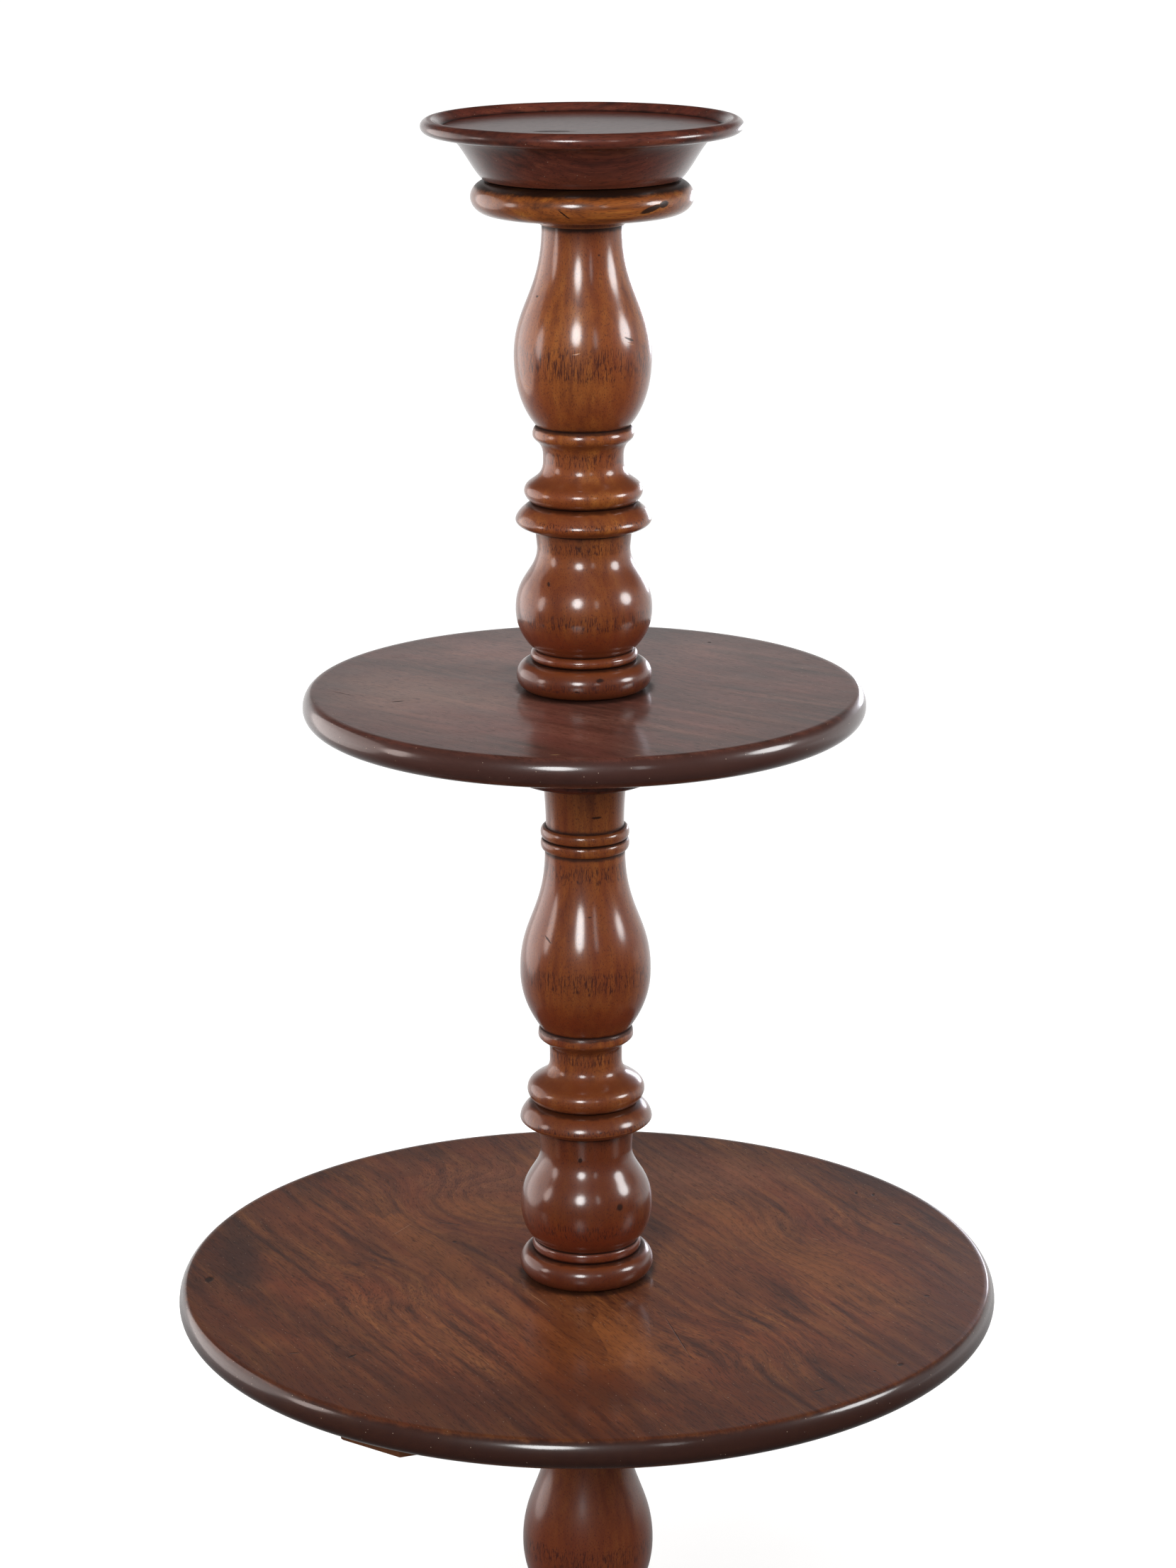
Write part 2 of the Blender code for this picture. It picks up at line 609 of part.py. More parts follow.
def batten_outline():
    """The plan of a batten along +X. Its ends follow the tier's edge."""
    near, far = BATTEN_OFFSET - BATTEN_W / 2, BATTEN_OFFSET + BATTEN_W / 2
    near_x, far_x = sqrt(BATTEN_END_R**2 - near**2), sqrt(BATTEN_END_R**2 - far**2)
    return [(-near_x, near), (near_x, near), (far_x, far), (-far_x, far)]


def make_battens(tier, pivot, wood, steel):
    """Two battens under the lower tier, each with its row of screws."""
    low_z = LOWER_TIER_UNDER_Z - FIT - BATTEN_T
    reach = BATTEN_T + FIT + BATTEN_SCREW_BITE
    half_length = sqrt(BATTEN_END_R**2 - (BATTEN_OFFSET + BATTEN_W / 2) ** 2)
    for side, turn in (("front", BATTEN_ANGLE + pi), ("back", BATTEN_ANGLE)):
        shape = prism(batten_outline(), 0, BATTEN_T)
        low_edges = [edge for edge in shape.edges if all(vert.co.z < FIT for vert in edge.verts)]
        bmesh.ops.bevel(shape, geom=low_edges, offset=BATTEN_EDGE, segments=1, affect="EDGES")
        batten = add_object("batten_" + side, shape, wood, pivot, (0, 0, low_z), turn, smooth=False)
        for index, share in enumerate(BATTEN_SCREW_SHARES, 1):
            along, across = half_length * share, BATTEN_OFFSET
            angle = turn + atan2(across, along)
            place = polar(hypot(across, along), angle)
            tag = side + "_" + str(index)
            make_screw("batten_screw_" + tag, reach, steel, pivot, place, True, low_z)
            spot = (place.x, place.y, low_z)
            hole = helper("batten_hole_" + tag, sunk_hole(reach + FIT), pivot, spot)
            combine(batten, hole, "DIFFERENCE")
            combine(tier, hole, "DIFFERENCE")


def dovetail(clearance, low, high):
    """A leg's dovetail, or with a clearance its housing in the hub, along the leg's +X."""
    front, back = HUB_R + DOVETAIL_NECK_W / 2, HUB_R - DOVETAIL_DEPTH - clearance
    neck, tail = DOVETAIL_NECK_W / 2 + clearance, DOVETAIL_BACK_W / 2 + clearance
    outline = [(back, -tail), (HUB_R, -neck), (front, -neck), (front, neck), (HUB_R, neck), (back, tail)]
    return prism(outline, low, high)


def curve_point(start, near, far, end, t):
    """A point on a cubic curve."""
    one, two, three = 3 * (1 - t) ** 2 * t, 3 * (1 - t) * t**2, t**3
    return Vector(start) * (1 - t) ** 3 + Vector(near) * one + Vector(far) * two + Vector(end) * three


def leg_stations():
    """Upper and lower points of the leg in its own plane, from inside the hub to the tip of the toe."""
    toe_start = CASTER_PLACE_R - LEG_TOE_L / 2
    toe_top_z = TOE_UNDER_Z + LEG_TOE_H
    seat_end = HUB_R + LEG_SEAT_L
    top_run, low_run = toe_start - HUB_R, toe_start - seat_end
    inside = HUB_R - DOVETAIL_DEPTH / 2
    stations = [((inside, LEG_TOP_Z), (inside, HUB_UNDER_Z))]
    for step in range(LEG_STEPS + 1):
        t = step / LEG_STEPS
        top = curve_point(
            (HUB_R, LEG_TOP_Z),
            (HUB_R + top_run * LEG_KNEE_SHARE, LEG_TOP_Z),
            (toe_start - top_run * LEG_ANKLE_SHARE, toe_top_z),
            (toe_start, toe_top_z),
            t,
        )
        low = curve_point(
            (seat_end, HUB_UNDER_Z),
            (seat_end + low_run * LEG_KNEE_SHARE, HUB_UNDER_Z),
            (toe_start - low_run * LEG_ANKLE_SHARE, TOE_UNDER_Z),
            (toe_start, TOE_UNDER_Z),
            t,
        )
        stations.append((top, low))
    toe_end = toe_start + LEG_TOE_L
    stations.append(((toe_end - LEG_TOE_H / 4, toe_top_z), (toe_end - LEG_TOE_H / 8, TOE_UNDER_Z)))
    stations.append(((toe_end, toe_top_z - LEG_TOE_H / 4), (toe_end, TOE_UNDER_Z + LEG_TOE_H / 8)))
    return stations


def leg_shape():
    """The leg as a bmesh: a chamfered section carried through its stations."""
    shape = bmesh.new()
    rings = []
    stations = leg_stations()
    for index, (top, low) in enumerate(stations):
        share = index / (len(stations) - 1)
        half = (LEG_HUB_W + (LEG_TOE_W - LEG_HUB_W) * share) / 2
        if index == len(stations) - 1:
            half -= half * LEG_ROUND_SHARE
        cut = half * LEG_ROUND_SHARE
        top, low = Vector((top[0], 0, top[1])), Vector((low[0], 0, low[1]))
        down = (low - top).normalized()
        corners = [
            (top, -half + cut), (top, half - cut), (top + down * cut, half),
            (low - down * cut, half), (low, half - cut), (low, -half + cut),
            (low - down * cut, -half), (top + down * cut, -half),
        ]
        rings.append([shape.verts.new(point + Vector((0, side, 0))) for point, side in corners])
    for one, two in zip(rings, rings[1:]):
        for near in range(len(one)):
            far = (near + 1) % len(one)
            shape.faces.new((one[near], one[far], two[far], two[near]))
    shape.faces.new(rings[0])
    shape.faces.new(rings[-1])
    return shape


def make_legs(pedestal, wood, steel, iron):
    """The three legs with their dovetails and pegs, the iron plate below them and its screws."""
    plate = make_plate(iron)
    reach = PLATE_T + FIT + PLATE_SCREW_BITE
    for index, angle in enumerate(leg_angles(), 1):
        tag = str(index)
        leg = add_object("leg_" + tag, leg_shape(), wood, turn=angle)
        shoulder = rod(HUB_R + FIT, HUB_UNDER_Z - OVERRUN, LEG_TOP_Z + OVERRUN, COLUMN_SEGMENTS)
        combine(leg, helper("leg_shoulder_" + tag, shoulder), "DIFFERENCE")
        tongue = dovetail(0, HUB_UNDER_Z, LEG_TOP_Z - DOVETAIL_STOP)
        combine(leg, helper("leg_dovetail_" + tag, tongue, turn=angle), "UNION")
        peg_r = CUP_FOOT_R - CUP_WALL - FIT
        toe = polar(CASTER_PLACE_R, angle)
        peg = rod(peg_r, PEG_UNDER_Z, TOE_UNDER_Z + LEG_TOE_H / 2, PEG_SEGMENTS)
        combine(leg, helper("leg_peg_" + tag, peg, location=toe), "UNION")
        stem = rod(STEM_R + FIT, PEG_UNDER_Z - OVERRUN, CUP_UNDER_Z + STEM_RISE + FIT, SCREW_SEGMENTS)
        combine(leg, helper("leg_stem_hole_" + tag, stem, location=toe), "DIFFERENCE")
        housing = dovetail(FIT, HUB_UNDER_Z - OVERRUN, LEG_TOP_Z - DOVETAIL_STOP + FIT)
        combine(pedestal, helper("hub_housing_" + tag, housing, turn=angle), "DIFFERENCE")
        for target, place_r, label in ((leg, LEG_SCREW_PLACE_R, "leg"), (pedestal, HUB_SCREW_PLACE_R, "hub")):
            place = polar(place_r, angle)
            name = "plate_screw_" + label + "_" + tag
            make_screw(name, reach, steel, None, place, False, PLATE_UNDER_Z)
            hole_end_z = PLATE_UNDER_Z + reach + FIT
            hole = rod(SCREW_SHANK_R + FIT, PLATE_UNDER_Z - OVERRUN, hole_end_z, SCREW_SEGMENTS)
            cutter = helper("plate_hole_" + label + "_" + tag, hole, location=place)
            combine(target, cutter, "DIFFERENCE")
            combine(plate, cutter, "DIFFERENCE")


def make_plate(iron):
    """The three-armed iron plate: its arms reach along the flat seats under the legs."""
    half = PLATE_ARM_W / 2
    tip = HUB_R + LEG_SEAT_L - PLATE_ARM_TIP_GAP
    root = sqrt(PLATE_DISC_R**2 - half**2)
    spread = atan2(half, root)
    outline = []
    for angle in leg_angles():
        arm = [(root, -half), (tip - half, -half)]
        arm += [(tip - half + half * sin(pi * k / 6), -half * cos(pi * k / 6)) for k in range(1, 6)]
        arm += [(tip - half, half), (root, half)]
        outline += [Matrix.Rotation(angle, 2) @ Vector(point) for point in arm]
        gap = 2 * pi / LEG_COUNT - 2 * spread
        outline += [polar(PLATE_DISC_R, angle + spread + gap * k / 4).xy for k in range(1, 4)]
    return add_object("spider_plate", prism(outline, PLATE_UNDER_Z, PLATE_UNDER_Z + PLATE_T), iron)


def cup_outline():
    """The caster's brass cup, open at the top, with a hole for the stem in its floor."""
    inner_r = CUP_FOOT_R - CUP_WALL
    outline = Turning(STEM_R + FIT, 0)
    outline.to(CUP_FOOT_R)
    outline.to(CUP_FOOT_R, CUP_FLOOR_T + CUP_DEPTH - CUP_RIM_H)
    outline.bead(CUP_RIM_R, CUP_FOOT_R, CUP_RIM_H, steps=SMALL_BEAD_STEPS)
    outline.to(inner_r)
    outline.to(inner_r, -CUP_DEPTH)
    outline.to(STEM_R + FIT)
    return outline


def wheel_outline():
    half = WHEEL_W / 2
    outline = Turning(AXLE_R + FIT, -half)
    outline.to(WHEEL_R - WHEEL_EDGE)
    outline.to(WHEEL_R, WHEEL_EDGE)
    outline.to(WHEEL_R, WHEEL_W - 2 * WHEEL_EDGE)
    outline.to(WHEEL_R - WHEEL_EDGE, WHEEL_EDGE)
    outline.to(AXLE_R + FIT)
    return outline


def lying(shape, turn=0.0):
    """Lays a shape that was turned about +Z along +Y."""
    about = Matrix.Rotation(-pi / 2, 3, "X") @ Matrix.Rotation(turn, 3, "Z")
    bmesh.ops.rotate(shape, verts=shape.verts, cent=(0, 0, 0), matrix=about)
    return shape


def cheek_shape(side):
    """A cheek of the horn: from under the crown out to the eye of the axle, in the plane of the wheel."""
    drop = AXLE_Z - CROWN_UNDER_Z - CROWN_T
    outline = [(-CROWN_R, 0), (-CROWN_R, -CROWN_T)]
    outline += [
        (CASTER_TRAIL + CHEEK_EYE_R * cos(pi + pi * k / 6), drop + CHEEK_EYE_R * sin(pi + pi * k / 6))
        for k in range(7)
    ]
    outline += [(CROWN_R, -CROWN_T / 2), (CROWN_R, 0)]
    shape = prism([(x, -z) for x, z in outline], -CHEEK_T / 2, CHEEK_T / 2)
    bmesh.ops.rotate(shape, verts=shape.verts, cent=(0, 0, 0), matrix=Matrix.Rotation(-pi / 2, 3, "X"))
    across = WHEEL_W / 2 + CHEEK_GAP + CHEEK_T / 2
    bmesh.ops.translate(shape, verts=shape.verts, vec=(0, side * across, CROWN_UNDER_Z + CROWN_T))
    return shape


def make_caster(index, angle, brass, steel):
    """A swivelling caster under a leg's toe: cup, horn, axle and wheel."""
    tag = str(index)
    toe = polar(CASTER_PLACE_R, angle)
    cup = spun(cup_outline().points, CASTER_SEGMENTS)
    add_object("caster_cup_" + tag, cup, brass, location=(toe.x, toe.y, CUP_UNDER_Z))
    pivot = add_empty("caster_pivot_" + tag, toe, angle)
    outer = WHEEL_W / 2 + CHEEK_GAP + CHEEK_T
    crown = prism(
        [(-CROWN_R, -outer), (CROWN_R, -outer), (CROWN_R, outer), (-CROWN_R, outer)],
        CROWN_UNDER_Z, CROWN_UNDER_Z + CROWN_T,
    )
    horn = add_object("caster_horn_" + tag, crown, brass, pivot, smooth=False)
    for side in (-1, 1):
        name = "horn_cheek_" + tag + ("_left" if side > 0 else "_right")
        combine(horn, helper(name, cheek_shape(side), pivot), "UNION")
    stem = rod(STEM_R, CROWN_UNDER_Z + CROWN_T / 2, CUP_UNDER_Z + STEM_RISE, SCREW_SEGMENTS)
    combine(horn, helper("horn_stem_" + tag, stem, pivot), "UNION")
    eye = lying(rod(AXLE_R + FIT, -outer - OVERRUN, outer + OVERRUN, SCREW_SEGMENTS))
    combine(horn, helper("horn_eye_" + tag, eye, pivot, (CASTER_TRAIL, 0, AXLE_Z)), "DIFFERENCE")
    axle_pivot = add_empty("wheel_pivot_" + tag, (CASTER_TRAIL, 0, AXLE_Z), 0, pivot)
    reach = outer + FIT
    axle_points = [
        (0, -reach - AXLE_HEAD_H), (AXLE_HEAD_R, -reach - AXLE_HEAD_H / 2), (AXLE_HEAD_R, -reach),
        (AXLE_R, -reach), (AXLE_R, reach),
        (AXLE_HEAD_R, reach), (AXLE_HEAD_R, reach + AXLE_HEAD_H / 2), (0, reach + AXLE_HEAD_H),
    ]
    add_object("caster_axle_" + tag, lying(spun(axle_points, SCREW_SEGMENTS)), steel, axle_pivot)
    half_step = pi / CASTER_SEGMENTS
    wheel = lying(spun(wheel_outline().points, CASTER_SEGMENTS), half_step)
    add_object("caster_wheel_" + tag, wheel, brass, axle_pivot)


def clear_scene():
    for obj in list(bpy.data.objects):
        bpy.data.objects.remove(obj, do_unlink=True)


def main():
    clear_scene()
    column_wood = make_material("polished_mahogany", (0.22, 0.060, 0.018), 0.25)
    tier_wood = make_material("dark_mahogany", (0.095, 0.028, 0.014), 0.28)
    light_wood = make_material("golden_mahogany", (0.30, 0.110, 0.028), 0.25)
    brass = make_material("cast_brass", (0.55, 0.38, 0.14), 0.35, 1.0)
    iron = make_material("wrought_iron", (0.035, 0.032, 0.030), 0.6, 1.0)
    steel = make_material("screw_steel", (0.22, 0.20, 0.18), 0.45, 1.0)

    pedestal, middle_tier_under_z, dish_foot_z = make_column(column_wood, light_wood)
    lower_pivot = add_empty("lower_tier_pivot")
    middle_pivot = add_empty("middle_tier_pivot")
    dish_pivot = add_empty("dish_pivot")
    lower_tier = tier_board(
        "lower_tier", LOWER_TIER_D, LOWER_TIER_T, LOWER_TIER_UNDER_Z, tier_wood, lower_pivot
    )
    tier_boss("lower_tier_boss", LOWER_TIER_UNDER_Z, tier_wood, lower_pivot)
    make_battens(lower_tier, lower_pivot, tier_wood, steel)
    tier_board("middle_tier", MIDDLE_TIER_D, MIDDLE_TIER_T, middle_tier_under_z, tier_wood, middle_pivot)
    tier_boss("middle_tier_boss", middle_tier_under_z, tier_wood, middle_pivot)
    add_object(
        "dish", spun(dish_outline().points, DISH_SEGMENTS), tier_wood, dish_pivot, (0, 0, dish_foot_z)
    )
    make_legs(pedestal, column_wood, steel, iron)
    for index, angle in enumerate(leg_angles(), 1):
        make_caster(index, angle, brass, steel)


main()
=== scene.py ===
"""The three-tier dumbwaiter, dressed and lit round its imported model.

Each piece is turned, sawn or forged in edit mode at the place of its CAD node and rides on that node's body.
Lengths of turned members are in millimetres; everything else is in metres, +Z up, origin on the floor.
"""

import logging
from abc import ABC, abstractmethod
from collections.abc import Callable, Iterator, Sequence
from contextlib import contextmanager
from dataclasses import dataclass, replace
from enum import Enum
from functools import cache, partial
from math import asin, atan, cos, pi, radians, sin, sqrt

import bmesh
import bpy
import numpy as np
from mathutils import Matrix, Vector


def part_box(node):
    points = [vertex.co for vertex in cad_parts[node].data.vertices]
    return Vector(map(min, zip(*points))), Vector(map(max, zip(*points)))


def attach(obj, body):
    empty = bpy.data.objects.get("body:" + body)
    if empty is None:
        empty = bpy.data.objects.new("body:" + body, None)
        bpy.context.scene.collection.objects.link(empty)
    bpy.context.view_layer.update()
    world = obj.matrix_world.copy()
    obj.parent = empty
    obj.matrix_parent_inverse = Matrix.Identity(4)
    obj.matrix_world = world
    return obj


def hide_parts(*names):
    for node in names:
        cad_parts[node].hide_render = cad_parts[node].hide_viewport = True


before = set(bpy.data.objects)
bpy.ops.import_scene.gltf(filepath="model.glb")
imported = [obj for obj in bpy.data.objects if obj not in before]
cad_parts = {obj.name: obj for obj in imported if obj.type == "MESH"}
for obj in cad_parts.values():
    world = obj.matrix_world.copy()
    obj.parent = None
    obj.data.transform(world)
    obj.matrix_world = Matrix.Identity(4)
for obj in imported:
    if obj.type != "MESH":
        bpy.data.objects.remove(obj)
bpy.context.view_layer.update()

LOG = logging.getLogger("dumbwaiter")
MM = 0.001
FIT_MM = 0.3
MERGE = 0.002 * MM
SMOOTH_ANGLE = radians(32)
UP = Vector((0, 0, 1))
ORIGIN = Vector((0, 0, 0))
Colour = tuple[float, float, float, float]
Node = bpy.types.Node
Object = bpy.types.Object
Material = bpy.types.Material


# Colours and nodes


def linear(code: str) -> Colour:
    """Turns an sRGB hex colour into a linear one.

    Args:
        code: six hex digits.

    Returns:
        Red, green, blue and alpha for a shader socket.
    """
    shares = [int(code[spot : spot + 2], 16) / 255 for spot in (0, 2, 4)]
    red, green, blue = (s / 12.92 if s <= 0.04045 else ((s + 0.055) / 1.055) ** 2.4 for s in shares)
    return red, green, blue, 1.0


def grey(value: float) -> Colour:
    """A grey of a linear value."""
    return value, value, value, 1.0


class Nodes:
    """A tree of shader nodes under construction, with a short method for each step that repeats."""

    def __init__(self, tree: bpy.types.NodeTree) -> None:
        """Empties the tree."""
        tree.nodes.clear()
        self.tree = tree

    def add(self, kind: str, sockets: dict[str | int, object] | None = None, **settings: object) -> Node:
        """Adds a node with its settings and links.

        Args:
            kind: the node's type, without its ShaderNode.
            sockets: for each input, by name or number, a value, or the node or output that feeds it.
            settings: the node's own settings.

        Returns:
            The node.
        """
        node = self.tree.nodes.new("ShaderNode" + kind)
        for name, value in settings.items():
            setattr(node, name, value)
        for key, value in (sockets or {}).items():
            if isinstance(key, str):
                socket = next(s for s in node.inputs if s.name == key and s.enabled)
            else:
                socket = node.inputs[key]
            if isinstance(value, Node):
                value = next(s for s in value.outputs if s.enabled)
            if isinstance(value, bpy.types.NodeSocket):
                self.tree.links.new(value, socket)
            else:
                socket.default_value = value
        return node

    def math(self, operation: str, *values: object, clamp: bool = False) -> Node:
        """Works a sum on up to three numbers."""
        return self.add("Math", dict(enumerate(values)), operation=operation, use_clamp=clamp)

    def vector(self, operation: str, *values: object, scale: object = 1.0) -> Node:
        """Works a sum on up to three vectors, or scales one."""
        return self.add("VectorMath", dict(enumerate(values)) | {3: scale}, operation=operation)

    def split(self, vector: object) -> bpy.types.bpy_prop_collection:
        """The three numbers of a vector."""
        return self.add("SeparateXYZ", {0: vector}).outputs

    def mix(self, share: object, under: object, over: object) -> Node:
        """Lays one colour over another by a share."""
        return self.add("Mix", {"Factor": share, "A": under, "B": over}, data_type="RGBA")

    def span(
        self,
        value: object,
        low: float,
        high: float,
        top: float = 1.0,
        foot: float = 0.0,
        shape: str = "LINEAR",
    ) -> Node:
        """Turns the span from low to high into that from foot to top."""
        limits = {"Value": value, "From Min": low, "From Max": high, "To Min": foot, "To Max": top}
        return self.add("MapRange", limits, interpolation_type=shape)

    def ramp(self, value: object, *stops: tuple[float, Colour]) -> Node:
        """Turns a number into a colour.

        Args:
            value: the number.
            stops: the colours and where they stand.

        Returns:
            The node.
        """
        node = self.add("ValToRGB", {"Fac": value})
        ramp = node.color_ramp.elements
        for spot, (position, colour) in enumerate(stops):
            stop = ramp[spot] if spot < len(ramp) else ramp.new(position)
            stop.position, stop.color = position, colour
        return node

    def noise(self, place: object, size: float, detail: float, roughness: float = 0.5) -> Node:
        """Soft noise whose spots have a size in metres."""
        sockets = {"Vector": place, "Scale": 1 / size, "Detail": detail, "Roughness": roughness}
        return self.add("TexNoise", sockets)

    def spots(self, place: object, size: tuple[float, float], seed: float, detail: float = 2.0) -> Node:
        """Noise in wood, whose spots are drawn out along the grain.

        Args:
            place: the place in the plank, whose third number runs along the grain.
            size: a spot's width and length in metres.
            seed: moves the pattern, so that no two are alike.
            detail: how many finer layers it has.

        Returns:
            The noise node.
        """
        across, along = size
        scale = (1 / across, 1 / across, 1 / along)
        start = (seed, 0.7 * seed, 1.3 * seed)
        at = self.add("Mapping", {"Vector": place, "Location": start, "Scale": scale})
        return self.noise(at, 1.0, detail, 0.55)


class Finish(Nodes):
    """A material under construction, and what its nodes read from the piece."""

    def __init__(self, name: str) -> None:
        """Starts the material.

        Args:
            name: the material's name.
        """
        self.material = bpy.data.materials.new(name)
        self.material.use_nodes = True
        super().__init__(self.material.node_tree)
        coordinates = self.add("TexCoord").outputs
        self.place, self.normal = coordinates["Object"], coordinates["Normal"]

    def attribute(self, name: str) -> bpy.types.NodeSocket:
        """The vectors that the bench wrote on the piece under a name."""
        return self.add("Attribute", attribute_name=name).outputs["Vector"]


# Finishes


@dataclass(frozen=True)
class Mark:
    """A dent, scratch, stain or lighter patch, or a patch of painted shade, sheen or reflection: an ellipsoid
    in the piece's own place, with a ragged edge.
    """

    place: tuple[float, float, float]
    size: tuple[float, float, float]
    turn: tuple[float, float, float] = (0.0, 0.0, 0.0)


@dataclass(frozen=True)
class Stain:
    """Marks that share a colour, a softness and a depth: spots, scratches and wear, and on some pieces
    painted shade, sheen or a reflection.
    """

    colour: str
    strength: float
    soft: float
    marks: tuple[Mark, ...]
    ragged: float = 0.5
    ragged_size: float = 3 * MM

    def mask(self, finish: Finish) -> Node:
        """Draws all of them as one mask.

        Args:
            finish: the material under construction.

        Returns:
            A node that is up to the strength inside the marks.
        """
        far_off = 9.0
        nearest: object = far_off
        for mark in self.marks:
            frame = {"Location": mark.place, "Rotation": mark.turn, "Scale": mark.size}
            local = finish.add("Mapping", {"Vector": finish.place} | frame, vector_type="TEXTURE")
            reach = finish.vector("LENGTH", local)
            nearest = finish.math("MINIMUM", reach, nearest)
        edge = finish.noise(finish.place, self.ragged_size, 3.0)
        ragged = finish.math("MULTIPLY_ADD", edge, self.ragged, -self.ragged / 2)
        reach = finish.math("ADD", nearest, ragged)
        return finish.span(reach, 1.0, 1.0 - self.soft, self.strength, shape="SMOOTHSTEP")

    def lay(self, finish: Finish, colour: object) -> Node:
        """Lays the marks' colour over another."""
        return finish.mix(self.mask(finish), colour, linear(self.colour))


@dataclass(frozen=True)
class Swirl:
    """A place where the grain bends round a hidden knot."""

    place: tuple[float, float, float]
    radius: float
    push: float


@dataclass(frozen=True)
class Mahogany:
    """Stained mahogany under a French polish.

    Cut along the grain it shows streaks, faint rings and short dark pores. Where a curve cuts across the
    grain the open pores have drunk more stain. Grime and painted shade darken the grooves, and the crowns are
    rubbed paler.
    The polish is thin shellac: a clear, slightly rippled coat over wood that hardly shines, worn dull where
    things stand.
    """

    name: str
    heart: str
    light: str
    dark: str
    red: str
    fleck: str = "2e120e"
    # The colour laid where the outline is hollow: grime, and painted shade in the grooves
    dirt: str = "160a07"
    worn: str = "a2653a"
    side: str = "3a1c14"
    side_strength: float = 0.0
    streak_size: tuple[float, float] = (5 * MM, 160 * MM)
    ring_size: float = 4.5 * MM
    ring_strength: float = 0.35
    ring_twist: float = 4.0
    pore_size: tuple[float, float] = (0.8 * MM, 7 * MM)
    pore_strength: float = 0.55
    fleck_size: tuple[float, float] = (1.7 * MM, 12 * MM)
    fleck_patch: tuple[float, float] = (26 * MM, 30 * MM)
    fleck_strength: float = 0.75
    fleck_edge: float = 0.55
    fleck_bands: Stain | None = None
    end_strength: float = 0.75
    dirt_strength: float = 0.95
    worn_strength: float = 0.35
    dust: str = "b9a08c"
    dust_strength: float = 0.0
    sheen_roughness: float = 0.42
    polish: float = 0.9
    polish_roughness: float = 0.12
    dull: float = 0.0
    ripple: float = 1.0
    seed: float = 0.0
    swirls: tuple[Swirl, ...] = ()
    # Laid over the figure: on the column they paint shade, on the tiers a sheen and a reflection besides
    # figure
    tints: tuple[Stain, ...] = ()
    margin: Stain | None = None
    # Marks laid last: on some pieces they include painted shadow and shade
    stains: tuple[Stain, ...] = ()

    def material(self) -> Material:
        """Builds the finish.

        Returns:
            The material.
        """
        finish = Finish(self.name)
        end, hollow, crown = finish.split(finish.attribute("surface"))
        upward = finish.split(finish.normal)["Z"]
        colour, pores = self.figure(finish, self.wavy(finish))
        side = finish.math("SUBTRACT", 1.0, finish.math("ABSOLUTE", upward))
        colour = self.weather(finish, colour, (end, side, hollow, crown))
        dents: object = 0.0
        # Each set of marks goes over the colour; some of them are painted shadow and shade
        for stain in self.stains:
            mask = stain.mask(finish)
            colour = finish.mix(mask, colour, linear(stain.colour))
            dents = finish.math("MAXIMUM", mask, dents)
        rough = finish.math("MULTIPLY_ADD", pores, 0.12, self.sheen_roughness)
        rough = finish.math("MULTIPLY_ADD", hollow, 0.3, rough, clamp=True)
        coat: object = self.polish
        for mask, loss in ((finish.span(upward, 0.93, 0.995, self.dull), 1.0), (hollow, 0.8), (dents, 0.9)):
            coat = finish.math("MULTIPLY_ADD", mask, -loss * self.polish, coat, clamp=True)
        wood, shellac = self.relief(finish, pores, dents)
        sockets = {"Base Color": colour, "Roughness": rough, "Specular IOR Level": 0.2, "Normal": wood}
        sockets |= {"Coat Weight": coat, "Coat Roughness": self.polish_roughness, "Coat Normal": shellac}
        shader = finish.add("BsdfPrincipled", sockets | {"IOR": 1.5, "Coat IOR": 1.5})
        finish.add("OutputMaterial", {"Surface": shader})
        return finish.material

    def wavy(self, finish: Finish) -> Node:
        """Lets the grain wander a few millimetres, as it does in a real plank, and bend round its knots.

        Args:
            finish: the material under construction.

        Returns:
            The wandering place in the plank.
        """
        plank = finish.attribute("plank")
        drift = finish.spots(plank, (55 * MM, 190 * MM), 3.1 + self.seed, 1.0).outputs["Color"]
        shift = finish.vector("SCALE", finish.vector("SUBTRACT", drift, (0.5, 0.5, 0.5)), scale=16 * MM)
        bent = finish.vector("ADD", plank, shift)
        for swirl in self.swirls:
            away = finish.vector("DISTANCE", finish.place, swirl.place)
            push = finish.span(away, swirl.radius, 0.0, swirl.push, shape="SMOOTHERSTEP")
            bent = finish.vector("ADD", bent, finish.vector("SCALE", (1, 0.6, 0), scale=push))
        return bent

    def figure(self, finish: Finish, wood: object) -> tuple[Node, Node]:
        """The wood's colour, with tints laid over it that on some pieces paint shade, sheen or a reflection.

        Args:
            finish: the material under construction.
            wood: the place in the plank.

        Returns:
            The colour and the pores.
        """
        streak = finish.spots(wood, self.streak_size, 11.0 + self.seed, 3.0)
        stops = (0.30, linear(self.dark)), (0.50, linear(self.heart)), (0.72, linear(self.light))
        patch = finish.spots(wood, (38 * MM, 120 * MM), 23.0 + self.seed)
        blush = finish.span(patch, 0.42, 0.66, 0.7)
        colour = finish.mix(blush, finish.ramp(streak, *stops), linear(self.red))
        for tint in self.tints:
            colour = tint.lay(finish, colour)
        if self.margin:
            outside = finish.math("SUBTRACT", self.margin.strength, self.margin.mask(finish))
            colour = finish.mix(outside, colour, linear(self.margin.colour))
